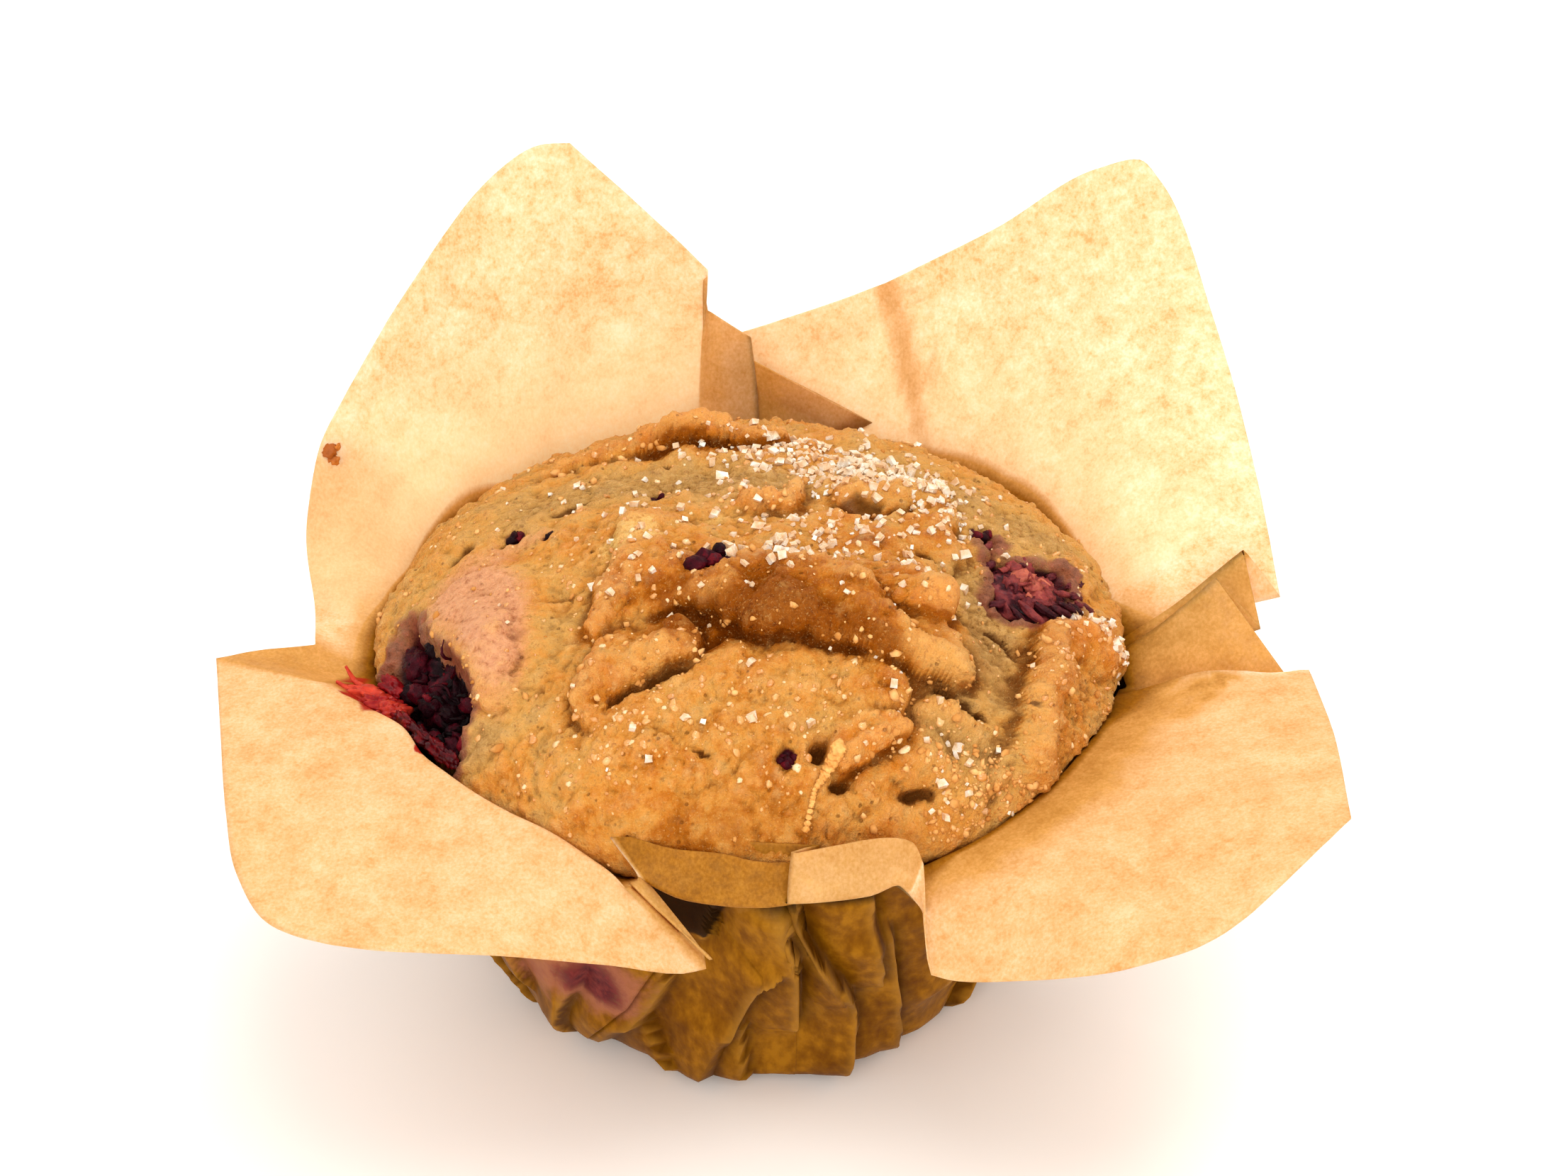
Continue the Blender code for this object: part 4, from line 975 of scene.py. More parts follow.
def make_cake(wall):
    n = 296
    line = np.linspace(-1, 1, n)
    a, b = np.meshgrid(line, line, indexing="ij")
    wide = np.abs(a) > np.abs(b)
    rad = np.where(wide, a, b)
    with np.errstate(divide="ignore", invalid="ignore"):
        phi = np.where(wide, math.pi / 4 * b / a, math.pi / 2 - math.pi / 4 * a / b)
    phi = np.where((np.abs(a) < 1e-9) & (np.abs(b) < 1e-9), 0, phi)
    phi = np.where(rad < 0, phi + math.pi, phi)
    rad = np.abs(rad)
    # rad runs along the crown's arc: evenly spaced, to a little under the widest ring
    table = np.linspace(0, math.radians(108), 400)
    step = np.hypot(CROWN_R * np.cos(table), CROWN_RISE * np.sin(table))
    arc = np.concatenate([[0], np.cumsum((step[1:] + step[:-1]) / 2 * np.diff(table))])
    psi = np.interp(rad * arc[-1], arc, table)
    r = CROWN_R * np.sin(psi)
    z = np.where(psi <= math.pi / 2, CROWN_Z + CROWN_RISE * np.cos(psi), CROWN_Z + 8.0 * np.cos(psi))
    base = np.stack([r * np.cos(phi), r * np.sin(phi), z], -1).reshape(-1, 3)
    psi = psi.reshape(-1)
    up = np.stack([np.sin(psi) * CROWN_RISE * np.cos(phi.reshape(-1)), np.sin(psi) * CROWN_RISE * np.sin(phi.reshape(-1)), np.cos(psi) * CROWN_R], -1)
    up /= np.linalg.norm(up, axis=1, keepdims=True)
    x, y = base[:, 0], base[:, 1]
    high, shift, toast, edge, shade, hollow, stain, pit, bit = crown_forms(base, x, y)
    # full relief on the open crown, fading where the paper holds the rim
    fade = 1 - smooth(math.radians(76), math.radians(97), psi)
    high = np.clip(np.where(high < 0, high * mix(0.5, 1.0, fade), high * mix(0.15, 1.0, fade)), -6.0, 6.0)
    moved = base + up * high[:, None]
    moved[:, :2] += shift * fade[:, None]
    # the crown bulges over the paper at the right
    side = np.degrees(np.arctan2(y, x))
    bulge = (1.6 * np.exp(-(((side - 14) / 18) ** 2)) + 1.1 * np.exp(-((((side % 360) - 168) / 34) ** 4)) + 0.5 * np.exp(-(((side - 80) / 50) ** 4)) + 1.0 * np.exp(-((((side % 360) - 227) / 28) ** 4))) * smooth(math.radians(35), math.radians(70), psi) * (1 - smooth(math.radians(84), math.radians(97), psi))
    moved[:, :2] += base[:, :2] / np.maximum(np.hypot(x, y), 1)[:, None] * bulge[:, None]
    grid = moved.reshape(n, n, 3)
    grid = np.stack([blur(grid[..., k], 1) for k in range(3)], -1)
    # the steep broken faces are smoother than the rest
    steep = blur(np.clip(1.6 * np.maximum(edge, shade * 0.6), 0, 1).reshape(n, n), 2)[..., None]
    grid = mix(grid, np.stack([blur(grid[..., k], 4) for k in range(3)], -1), steep * 0.7)
    # crumb and crust grain, pushed out along the surface as it now stands
    area = np.linalg.norm(np.cross(np.gradient(grid, axis=0), np.gradient(grid, axis=1)), axis=-1)
    even = np.clip(1.7 * np.median(area) / np.maximum(area, 1e-9), 0.1, 1)[..., None]
    for strength, size, seed in ((0.74, 1.6, 63), (0.56, 0.85, 64)):
        normal = sheet_normals(grid)
        flat = grid.reshape(-1, 3)
        grain = np.abs(noise(flat, size, seed)) - 0.22
        if size > 1.2:
            dist, own = cells(flat, 2.1, 62)
            grain = grain + 1.1 * np.clip(0.40 - dist, 0, 1) * (own > 0.55)
        rough_here = 0.75 + 0.5 * noise(flat, 7.0, 66) - 0.70 * blob(x, y, -27, -9, 6, 9)
        grid = grid + normal * (strength * grain * np.clip(rough_here, 0.25, 1.3) * mix(0.5, 1.0, fade)).reshape(n, n, 1) * even
    moved = grid.reshape(-1, 3)

    # relief as the eye reads it: creases against tips, for painted shade in the creases and a painted highlight on the
    # tips
    lift = ((moved - base) * up).sum(1).reshape(n, n)
    fine_cavity = (lift - blur(lift, 10)).reshape(-1)
    wide_cavity = (lift - blur(blur(lift, 40), 40)).reshape(-1)
    tone = fbm(base, 8.0, 3, 71)
    fine_tone = fbm(base, 2.4, 2, 72)
    z_ = lambda *args: blob(x, y, *args)
    pale = np.clip(
        0.75 * z_(-5, 11.5, 14, 4.6, 2) + 0.80 * z_(25.0, -11, 3.4, 11, 4) + 0.40 * z_(-24, 10, 9, 4.5, 38) + 0.5 * z_(20, 14, 9, 5, -30)
        + 0.28 * z_(-19.5, -10, 2.6, 7.0, 12) + 0.75 * z_(-26.6, -24.0, 2.4, 2.0) + 0.6 * z_(20, -26.5, 6.5, 2.0, -8) + 0.4 * z_(4.5, -19.6, 9, 1.5)
        + 0.15 * z_(-37, 0, 4, 10) + 0.55 * z_(31, 8, 6, 4) + 0.4 * z_(6, -28.8, 3, 1.6),
        0, 1,
    )
    orange = np.clip(
        0.9 * z_(-6, 22.5, 11, 2.4) + 0.9 * z_(35.5, -6.5, 4.5, 3.0, 30) + 0.6 * z_(35, -17, 4, 8, 10) + 0.7 * z_(1.5, 5.0, 4.0, 2.4) + 0.9 * z_(19.5, -13.5, 4.5, 2.4, -10)
        + 0.9 * z_(-15.5, -17, 2.0, 6.0, 14) + 0.9 * z_(13.5, -28.5, 5.5, 2.4, 32) + 0.55 * z_(-18.5, -2, 2, 5, 10) + 0.5 * z_(-1, -34, 16, 3.5) + 0.4 * z_(11, 2.5, 9, 2.6)
        + 0.6 * z_(34, 6, 2.4, 3),
        0, 1,
    )
    toasted = np.clip(
        1.15 * z_(1.5, -17.6, 11.5, 2.8, -3) + 0.45 * z_(2, -12.5, 9, 3.0) + 0.45 * z_(-9, -12.5, 3, 2) + 0.7 * z_(-4, 20.2, 9, 1.6) + 0.15 * z_(-2, -7.5, 9, 4) + 0.25 * z_(0, -30, 14, 6) + 0.3 * z_(30.5, -14, 1.6, 6)
        + 0.45 * z_(-6, -38.0, 24, 3.4)
        + 0.3 * z_(14, -4, 6, 4) + 0.35 * z_(-24, -0.5, 3, 1.6, 30),
        0, 1,
    )
    cream = np.clip(1.25 * z_(-12.4, -3.4, 4.2, 2.6, 25) + 0.7 * z_(-3.5, 1.6, 2.2, 1.4) + 0.35 * z_(12.5, -27.5, 4, 1.2, 30) + 0.5 * z_(21.5, -30.5, 5.5, 3.2) + 0.3 * z_(-19, -3, 1.6, 3), 0, 1)
    pinkish = np.clip(1.1 * z_(-29.0, -5.0, 4.4, 6.6, 20) + 1.1 * z_(-25.2, -13.5, 3.0, 8.0, 6) + 0.55 * z_(-24, 3.2, 5, 2.6, 20), 0, 1)
    masks = {
        "toast": np.clip(0.42 + 0.30 * tone + 0.16 * fine_tone + 0.34 * toasted + 0.16 * toast - 0.45 * pale, 0, 1),
        "pale": pale,
        "orange": np.clip(orange * (0.9 + 0.5 * fine_tone) + 0.40 * edge - 0.5 * toasted, 0, 1),
        "cream": np.clip(cream * (0.9 + 0.7 * fine_tone) + 0.25 * edge * (fine_tone > 0.15) - 0.6 * toasted, 0, 1),
        # dark: toasted crust, plus painted shade under the broken edges and in the valley at the right
        "dark": np.clip(1.15 * toasted * (0.9 + 0.4 * fine_tone) + 0.55 * shade + 0.30 * z_(24.5, -14, 3.0, 9, 4), 0, 1),
        "crease": np.clip(0.5 + 0.55 * fine_cavity + 0.22 * wide_cavity, 0, 1),
        "pinkish": pinkish,
        "stain": np.clip(stain - 0.12 + 0.35 * fine_tone, 0, 1) * np.clip(stain * 2, 0, 1),
        "hollow": np.clip(np.maximum(hollow, bit), 0, 1),
        "pit": pit,
        "edge": np.clip(edge, 0, 1),
    }

    moved = inside_wall(moved, psi > math.radians(76), wall)

    # the flank down to the base, hidden by the case
    index = np.arange(n * n).reshape(n, n)
    ring = np.concatenate([index[0, :-1], index[:-1, -1], index[-1, :0:-1], index[:0:-1, 0]])
    ring_angle = np.degrees(np.arctan2(base[ring, 1], base[ring, 0]))
    foot = BASE_R - 1.6
    profile = [(NECK_R, NECK_Z)] + [(mix(NECK_R, foot, t), mix(NECK_Z, 2.7, t)) for t in (0.33, 0.66, 1.0)] + [(foot - 1.7, 0.9), (foot * 0.5, 0.9)]
    rows, extra = [ring], []
    at = n * n
    for pr, pz in profile:
        extra.append(cyl(ring_angle, pr - dent(ring_angle % 360, np.full(len(ring), pz)), pz))
        rows.append(np.arange(at, at + len(ring)))
        at += len(ring)
    points = np.vstack([moved, *extra, [[0, 0, 0.9]]])
    quads = [np.stack([index[:-1, :-1], index[1:, :-1], index[1:, 1:], index[:-1, 1:]], -1).reshape(-1, 4)]
    for upper_row, lower_row in zip(rows, rows[1:]):
        quads.append(np.stack([upper_row, lower_row, np.roll(lower_row, -1), np.roll(upper_row, -1)], -1))
    fan = np.stack([np.full(len(ring), at), np.roll(rows[-1], -1), rows[-1]], -1)
    used = {k: np.concatenate([v, np.zeros(len(points) - len(v))]) for k, v in masks.items() if k != "edge"}
    used["toast"][n * n :] = 0.5
    used["crease"][n * n :] = 0.5
    cake = build("cake", points, [np.concatenate(quads), fan], used)

    m = Nodes("crust")
    toast_a, pale_a, orange_a, cream_a, toast_and_shade_a, crease_a, pink_a, stain_a, hollow_a, pit_a = (
        m.attribute(k) for k in ("toast", "pale", "orange", "cream", "dark", "crease", "pinkish", "stain", "hollow", "pit")
    )
    coarse = m.noise(2.4, 5.0, 0.65)
    fine_n = m.noise(0.80, 5.0, 0.70)
    grit = m.noise(0.26, 3.0, 0.65)
    pore = m.cells(1.9)
    speck = m.cells(0.8)
    rough_tone = m.math("ADD", m.math("MULTIPLY", m.math("SUBTRACT", coarse, 0.5), 0.75), m.math("MULTIPLY", m.math("SUBTRACT", fine_n, 0.5), 0.65))

    def spread(mask, low, high, most=1.0, share=0.8):
        return m.range(m.math("ADD", mask, m.math("MULTIPLY", rough_tone, share)), low, high, 0.0, most)

    tone_n = m.math("ADD", toast_a, rough_tone, clamp=True)
    crust = m.ramp(
        tone_n,
        [(0.05, linear(200, 154, 94)), (0.28, linear(216, 160, 88)), (0.48, linear(222, 150, 68)), (0.66, linear(206, 122, 36)), (0.84, linear(166, 84, 10)), (1.0, linear(124, 56, 4))],
    )
    crumb = m.ramp(fine_n, [(0.3, linear(134, 92, 42)), (0.5, linear(182, 134, 78)), (0.7, linear(218, 176, 118))])
    colour = m.mix(spread(pale_a, 0.15, 0.85, 0.92), crust, crumb)
    colour = m.mix(spread(orange_a, 0.25, 0.9, 0.85), colour, m.ramp(fine_n, [(0.3, linear(206, 108, 16)), (0.7, linear(232, 146, 48))]))
    # toasted crust, with painted shade under the broken edges and in the right valley
    colour = m.mix(spread(toast_and_shade_a, 0.15, 0.9, 0.92), colour, m.ramp(fine_n, [(0.3, linear(116, 52, 2)), (0.7, linear(160, 84, 12))]))
    # patches of olive crumb and of pale gold all over
    colour = m.mix(m.range(coarse, 0.46, 0.32, 0.0, 0.34), colour, crumb)
    colour = m.mix(m.math("MULTIPLY", m.range(coarse, 0.54, 0.70, 0.0, 0.50), m.range(toast_and_shade_a, 0.1, 0.6, 1.0, 0.1)), colour, linear(240, 190, 124))
    rosy = m.ramp(fine_n, [(0.3, linear(200, 128, 96)), (0.7, linear(242, 176, 140))])
    colour = m.mix(spread(pink_a, 0.2, 0.9, 0.88, 0.6), colour, rosy)
    colour = m.mix(spread(cream_a, 0.25, 0.85, 0.9), colour, m.ramp(fine_n, [(0.3, linear(226, 160, 74)), (0.7, linear(248, 208, 138))]))
    # painted shade deepens the colour in the creases; a painted highlight lightens the tips
    colour = m.mix(m.range(crease_a, 0.50, 0.10, 0.0, 0.85), colour, m.mix(0.75, colour, linear(120, 66, 20), "MULTIPLY"))
    tips = m.math("MULTIPLY", m.range(crease_a, 0.60, 0.98, 0.0, 0.45), m.range(toast_and_shade_a, 0.2, 0.8, 1.0, 0.15))
    colour = m.mix(tips, colour, linear(240, 176, 96))
    colour = m.mix(m.range(m.math("SUBTRACT", 0.2, speck), 0.05, 0.16, 0.0, 0.30), colour, linear(244, 190, 112))
    # grain: the crumb's own tone, with painted shade between the crumbs and in the pores, and painted glints on the
    # crumbs
    colour = m.mix(m.range(fine_n, 0.47, 0.30, 0.0, 0.60), colour, m.mix(1.0, colour, linear(190, 150, 112), "MULTIPLY"))
    colour = m.mix(m.range(grit, 0.56, 0.74, 0.0, 0.34), colour, linear(252, 206, 142))
    colour = m.mix(m.range(pore, 0.11, 0.06, 0.0, 0.55), colour, linear(112, 58, 8))
    colour = m.mix(1.0, colour, (0.98, 0.96, 0.80, 1.0), "MULTIPLY")
    colour = m.mix(spread(stain_a, 0.3, 0.9, 0.85), colour, m.ramp(fine_n, [(0.3, linear(84, 28, 28)), (0.7, linear(156, 78, 60))]))
    # painted shade inside the pits
    colour = m.mix(m.range(pit_a, 0.2, 0.9, 0.0, 0.8), colour, linear(84, 42, 8))
    flesh = m.ramp(coarse, [(0.3, linear(30, 4, 8)), (0.55, linear(62, 12, 18)), (0.75, linear(112, 34, 34))])
    colour = m.mix(m.range(hollow_a, 0.3, 0.85), colour, flesh)
    rough = m.range(fine_n, 0.3, 0.7, 0.62, 0.28)
    # sugary tips shine; creases, the toasted crust and the painted shade under the edges don't
    shine = m.math("MULTIPLY", m.range(crease_a, 0.30, 0.80, 0.03, 0.42), m.range(toast_and_shade_a, 0.1, 0.7, 1.0, 0.12))
    shine = m.math("MULTIPLY", shine, m.range(pale_a, 0.1, 0.8, 1.0, 0.6))
    height = m.math("ADD", m.math("MULTIPLY", fine_n, 0.68), m.math("MULTIPLY", grit, 0.32))
    height = m.math("SUBTRACT", height, m.range(pore, 0.14, 0.05, 0.0, 0.35))
    bump = m.bump(height, 0.85, 1.0)
    shader = m.shader(Base_Color=colour, Roughness=rough, Normal=bump, Subsurface_Weight=0.10, Subsurface_Scale=0.0010, Specular_IOR_Level=shine)
    shader.node.inputs["Subsurface Radius"].default_value = (1.0, 0.5, 0.25)
    cake.data.materials.append(m.finish(shader))
    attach(cake, "root")
    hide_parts("muffin")
    return moved, index, masks, base


# ================================================================ berries, sugar, crumbs


def ball(detail):
    """Points and triangles of a unit ball."""
    import bmesh

    bm = bmesh.new()
    bmesh.ops.create_icosphere(bm, subdivisions=detail, radius=1.0)
    points = np.array([v.co[:] for v in bm.verts])
    faces = np.array([[v.index for v in f.verts] for f in bm.faces])
    bm.free()
    return points, faces


def turn_to(normal, spin=0.0):
    """A rotation whose third column is the normal."""
    normal = np.asarray(normal, float) / np.linalg.norm(normal)
    side = np.cross(normal, (0.31, 0.95, 0.12))
    side /= np.linalg.norm(side)
    other = np.cross(normal, side)
    c, s = math.cos(spin), math.sin(spin)
    return np.stack([side * c + other * s, -side * s + other * c, normal], 1)


def fruit_material(name, stops, rough=(0.25, 0.55), wet=0.06):
    m = Nodes(name)
    ripe = m.attribute("ripe")
    blotch = m.noise(1.2, 3.0, 0.6)
    fine_n = m.noise(0.35, 3.0, 0.6)
    value = m.math("ADD", ripe, m.math("MULTIPLY", m.math("SUBTRACT", blotch, 0.5), 0.6))
    value = m.math("ADD", value, m.math("MULTIPLY", m.math("SUBTRACT", fine_n, 0.5), 0.25), clamp=True)
    colour = m.ramp(value, stops)
    shader = m.shader(
        Base_Color=colour, Roughness=m.range(fine_n, 0.35, 0.65, *rough), Normal=m.bump(fine_n, 0.25, 0.7), Subsurface_Weight=0.12, Subsurface_Scale=0.0012,
        Specular_IOR_Level=0.06, Coat_Weight=wet, Coat_Roughness=0.12,
    )
    return m.finish(shader)


class Lumps:
    """Many lumps, fibres and flakes of flesh, gathered into one mesh."""

    def __init__(self, seed):
        self.rng = np.random.default_rng(seed)
        self.points, self.faces, self.ripe, self.at = [], [], [], 0
        self.small, self.small_tris = ball(3)
        self.tiny, self.tiny_tris = ball(2)

    def add(self, points, faces, ripe):
        self.points.append(points)
        self.faces.append(faces + self.at)
        self.ripe.append(np.broadcast_to(np.asarray(ripe, float), (len(points),)))
        self.at += len(points)

    def drop(self, spot, half, normal, ripe, rough=0.12, spin=None, big=True):
        sphere, tris = (self.small, self.small_tris) if big else (self.tiny, self.tiny_tris)
        turn = turn_to(normal, self.rng.uniform(0, 6.28) if spin is None else spin)
        shape = sphere * half * (1 + rough * noise(sphere * 3 + self.rng.uniform(0, 90), 1.1, 83))[:, None]
        self.add(shape @ turn.T + spot, tris, ripe)

    def fibre(self, start, end, wide, ripe, bend=0.6):
        """A torn strand: thick at its start, thin at its end, bent and lumpy."""
        start, end = np.array(start, float), np.array(end, float)
        rows, sides = 10, 6
        side = np.cross(end - start, (0.2, 0.3, 1.0))
        side /= np.linalg.norm(side)
        other = np.cross(end - start, side)
        other /= np.linalg.norm(other)
        sag = (side * self.rng.normal() + other * self.rng.normal()) * bend
        points = []
        for k in range(rows):
            t = k / (rows - 1)
            middle = start + (end - start) * t + sag * math.sin(math.pi * t) + self.rng.normal(size=3) * 0.06 * wide
            size = wide * (1 - 0.85 * t) ** 0.7 * self.rng.uniform(0.8, 1.15) + 0.04
            for j in range(sides):
                a = 2 * math.pi * j / sides
                points.append(middle + (side * math.cos(a) + other * math.sin(a) * 0.6) * size)
        index = np.arange(rows * sides).reshape(rows, sides)
        nxt = np.roll(index, -1, 1)
        quads = np.concatenate(
            [np.stack([index[:-1], nxt[:-1], nxt[1:]], -1).reshape(-1, 3), np.stack([index[:-1], nxt[1:], index[1:]], -1).reshape(-1, 3)]
        )
        caps = np.array([(0, j + 1, j) for j in range(1, sides - 1)] + [((rows - 1) * sides, (rows - 1) * sides + j, (rows - 1) * sides + j + 1) for j in range(1, sides - 1)])
        self.add(np.array(points), np.concatenate([quads, caps]), ripe)

    def piece(self, name, material, replaces=None):
        made = build(name, np.vstack(self.points), np.vstack(self.faces), {"ripe": np.concatenate(self.ripe)})
        made.data.materials.append(material)
        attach(made, "root")
        if replaces:
            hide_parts(replaces)


def on_dome(px, py, lift=0.0):
    z, n = dome(np.array([float(px)]), np.array([float(py)]))
    return np.array([px, py, z[0]]) + n[0] * lift, n[0]


def berry_body(lumps, px, py, halves, sink, seed, swing=0.0):
    """The lumpy mass under the torn flesh."""
    spot, n = on_dome(px, py, -sink)
    around = np.array([-py, px, 0.0]) / math.hypot(px, py)
    along = np.cross(n, around)
    c, s = math.cos(swing), math.sin(swing)
    u, v = along * c + around * s, -along * s + around * c
    sphere, tris = ball(5)
    world = spot + sphere[:, :1] * halves[0] * u + sphere[:, 1:2] * halves[1] * v + sphere[:, 2:] * halves[2] * n
    way = world - spot
    way /= np.linalg.norm(way, axis=1)[:, None]
    dist, own = cells(world, 1.9, seed)
    torn = 0.75 * (1 - 2.2 * np.abs(noise(world, 2.6, seed + 1))) + 0.30 * (1 - 2 * np.abs(noise(world, 1.1, seed + 2))) + 0.55 * np.clip(0.6 - dist, 0, 1)
    lumps.add(world + way * (torn - 0.25)[:, None], tris, 0.10 + 0.25 * own + 0.25 * (torn > 0.75))
    return spot, n, u, v


def make_fruit():
    """The two torn berries in their hollows, red flesh pulled out over the paper, and small dark bits in the crust."""
    dark = fruit_material(
        "berry_dark_flesh", [(0.10, linear(10, 1, 2)), (0.40, linear(26, 3, 8)), (0.62, linear(62, 6, 18)), (0.90, linear(128, 18, 28))], (0.30, 0.6), 0.02
    )
    red = fruit_material(
        "berry_red_flesh", [(0.10, linear(34, 8, 14)), (0.36, linear(84, 28, 34)), (0.62, linear(142, 58, 54)), (0.90, linear(200, 108, 82))], (0.3, 0.6), 0.06
    )
    juicy = Nodes("berry_juice")
    wet_n = juicy.math("ADD", juicy.attribute("ripe"), juicy.math("MULTIPLY", juicy.math("SUBTRACT", juicy.noise(0.9, 3.0, 0.6), 0.5), 0.7), clamp=True)
    skin = juicy.shader(
        Base_Color=juicy.ramp(wet_n, [(0.1, linear(58, 2, 8)), (0.45, linear(138, 14, 18)), (0.8, linear(206, 66, 42))]), Roughness=0.3, Specular_IOR_Level=0.10, Coat_Weight=0.06, Coat_Roughness=0.1,
        Subsurface_Weight=0.15, Subsurface_Scale=0.001,
    )
    juicy.finish(skin)

    # the left one
    lumps = Lumps(5)
    rng = lumps.rng
    spot, n, u, v = berry_body(lumps, -32.6, -13.6, (4.4, 8.2, 2.4), 3.9, 81)
    berry_body(lumps, -30.2, -21.6, (2.4, 3.6, 1.6), 3.0, 85)
    for px, py, lift, size, ripe in (
        (-35.6, -9.4, -0.9, 1.5, 0.55), (-36.4, -11.8, -1.2, 1.4, 0.35), (-35.0, -13.4, -1.0, 1.3, 0.62), (-33.8, -8.2, -1.4, 1.2, 0.25), (-33.6, -15.8, -0.9, 1.2, 0.42),
        (-31.0, -13.0, -1.6, 1.3, 0.50), (-29.6, -15.6, -1.5, 1.1, 0.22), (-29.2, -18.6, -1.3, 1.2, 0.60), (-31.4, -18.4, -1.0, 1.3, 0.30), (-33.2, -19.6, -0.8, 1.2, 0.66),
        (-30.6, -22.4, -0.8, 1.1, 0.50), (-29.2, -22.8, -0.7, 1.0, 0.75), (-34.6, -17.4, -0.8, 1.1, 0.30), (-32.0, -10.2, -1.9, 1.2, 0.16), (-36.2, -7.2, -1.0, 0.9, 0.48),
    ):
        at, up = on_dome(px, py, lift)
        lumps.drop(at, np.array([size, size * rng.uniform(0.7, 1.5), size * 0.8]), up + 0.4 * rng.normal(size=3), ripe, 0.45)
    for k in range(30):
        t = rng.uniform(0, 1)
        px, py = mix(-34.6, -29.6, t) + rng.normal() * 1.6, mix(-7.5, -23.0, t) + rng.normal() * 1.0
        at, up = on_dome(px, py, rng.uniform(-1.6, -0.3))
        away = np.array([rng.normal() * 1.2, rng.normal() * 2.0, 0]) + up * rng.uniform(-0.2, 1.2)
        lumps.fibre(at, at + away / np.linalg.norm(away) * rng.uniform(1.2, 2.6), rng.uniform(0.32, 0.7), rng.choice([0.12, 0.3, 0.5, 0.7], p=[0.35, 0.3, 0.25, 0.1]))
    lumps.piece("berry_left_flesh", dark, "berry_left")
    # its red flesh over the edge of the crown
    pulled = Lumps(6)
    for spot, half, way, ripe in (
        ((-39.6, -11.2, 39.4), (2.9, 1.3, 0.9), (-1.0, 0.35, 0.1), 0.7), ((-38.4, -13.0, 39.6), (2.2, 1.4, 1.0), (-1.0, 0.1, 0.1), 0.5), ((-37.2, -14.6, 40.0), (1.8, 1.2, 0.9), (-0.8, -0.4, 0.1), 0.6),
        ((-35.8, -16.8, 40.4), (1.9, 0.8, 0.8), (0.5, -0.8, 0.1), 0.2), ((-33.6, -19.8, 40.6), (2.0, 0.8, 0.8), (0.6, -0.8, 0.0), 0.1), ((-31.8, -22.4, 40.9), (2.0, 0.8, 0.8), (0.5, -0.85, 0.0), 0.15),
        ((-30.4, -24.2, 41.1), (1.4, 0.7, 0.7), (0.5, -0.85, 0.0), 0.1), ((-37.4, -10.6, 40.2), (1.6, 1.1, 0.8), (-0.7, 0.6, 0.2), 0.35),
    ):
        way = np.array(way) / np.linalg.norm(way)
        side = np.cross((0, 0, 1.0), way)
        sphere, tris = ball(4)
        lump = sphere * (1 + 0.55 * noise(sphere * 2.0 + spot[0] * 3, 1.0, 87) + 0.25 * noise(sphere * 5 + spot[0], 1.0, 88))[:, None]
        lump = lump[:, :1] * half[0] * way + lump[:, 1:2] * half[1] * side + lump[:, 2:] * half[2] * np.array([0, 0, 1.0])
        pulled.add(lump + spot, tris, ripe)
    for start, end, wide in (
        ((-40.2, -9.8, 39.4), (-42.6, -8.0, 41.2), 0.62), ((-40.8, -10.8, 39.2), (-43.4, -9.4, 40.2), 0.7), ((-39.6, -12.8, 39.6), (-41.8, -13.0, 40.0), 0.6),
    ):
        pulled.fibre(start, end, wide, 0.7, 0.35)
    pulled.piece("berry_left_pulled", juicy.material)

    # the right one
    lumps = Lumps(7)
    rng = lumps.rng
    berry_body(lumps, 30.4, -2.6, (4.6, 4.2, 1.6), 2.0, 91)
    for px, py, lift, size, ripe in (
        (28.6, 0.4, -0.5, 1.1, 0.62), (29.0, -1.2, -0.3, 1.2, 0.80), (30.2, -2.2, -0.2, 1.2, 0.70), (28.2, -2.8, -0.7, 1.1, 0.50), (31.4, -0.8, -0.5, 1.1, 0.60), (29.8, 1.6, -0.8, 1.0, 0.50),
        (30.6, -3.6, -0.3, 1.0, 0.62), (29.6, -4.6, -0.5, 0.9, 0.40), (31.8, -2.4, -0.3, 0.9, 0.52), (27.6, -0.6, -1.0, 1.0, 0.30),
    ):
        at, up = on_dome(px, py, lift)
        lumps.drop(at, np.array([size, size * 1.2, size * 0.7]), up + 0.3 * rng.normal(size=3), ripe, 0.5)
    for px, py, lift, turn, size in (
        (35.2, 3.0, 0.5, 1.2, 0.95), (34.2, 1.4, 0.2, 0.9, 0.80), (34.6, -0.4, 0.3, 0.5, 0.85), (35.4, -1.6, 0.4, 0.2, 0.90), (34.4, -2.8, 0.3, -0.1, 0.85), (33.2, -1.4, 0.3, 0.4, 0.8),
        (32.8, -4.6, 0.2, 0.0, 0.9), (31.4, -5.6, 0.0, -0.3, 0.85), (29.8, -6.8, -0.2, -0.6, 0.9), (28.3, -7.6, -0.4, -0.8, 0.75), (33.6, -3.6, 0.5, 0.1, 0.75), (27.0, -5.6, -1.2, 0.6, 0.9),
        (26.2, -3.0, -1.5, 0.9, 0.9), (26.0, 0.6, -1.0, 1.0, 0.8), (25.6, 3.2, -0.4, 1.1, 0.75), (27.2, 3.0, -1.0, 0.9, 0.7), (32.4, 1.8, -0.2, 0.9, 0.75), (30.8, -4.6, 0.0, 0.2, 0.8),
    ):
        at, up = on_dome(px, py, lift)
        long = np.array([math.cos(turn), math.sin(turn), 0.0])
        ahead = np.cross(up, long)
        turn_ = np.stack([long - up * (long @ up), ahead, up], 1)
        turn_ /= np.linalg.norm(turn_, axis=0)
        shape = lumps.small * (size * rng.uniform(1.2, 2.1), size * rng.uniform(0.42, 0.6), size * 0.45)
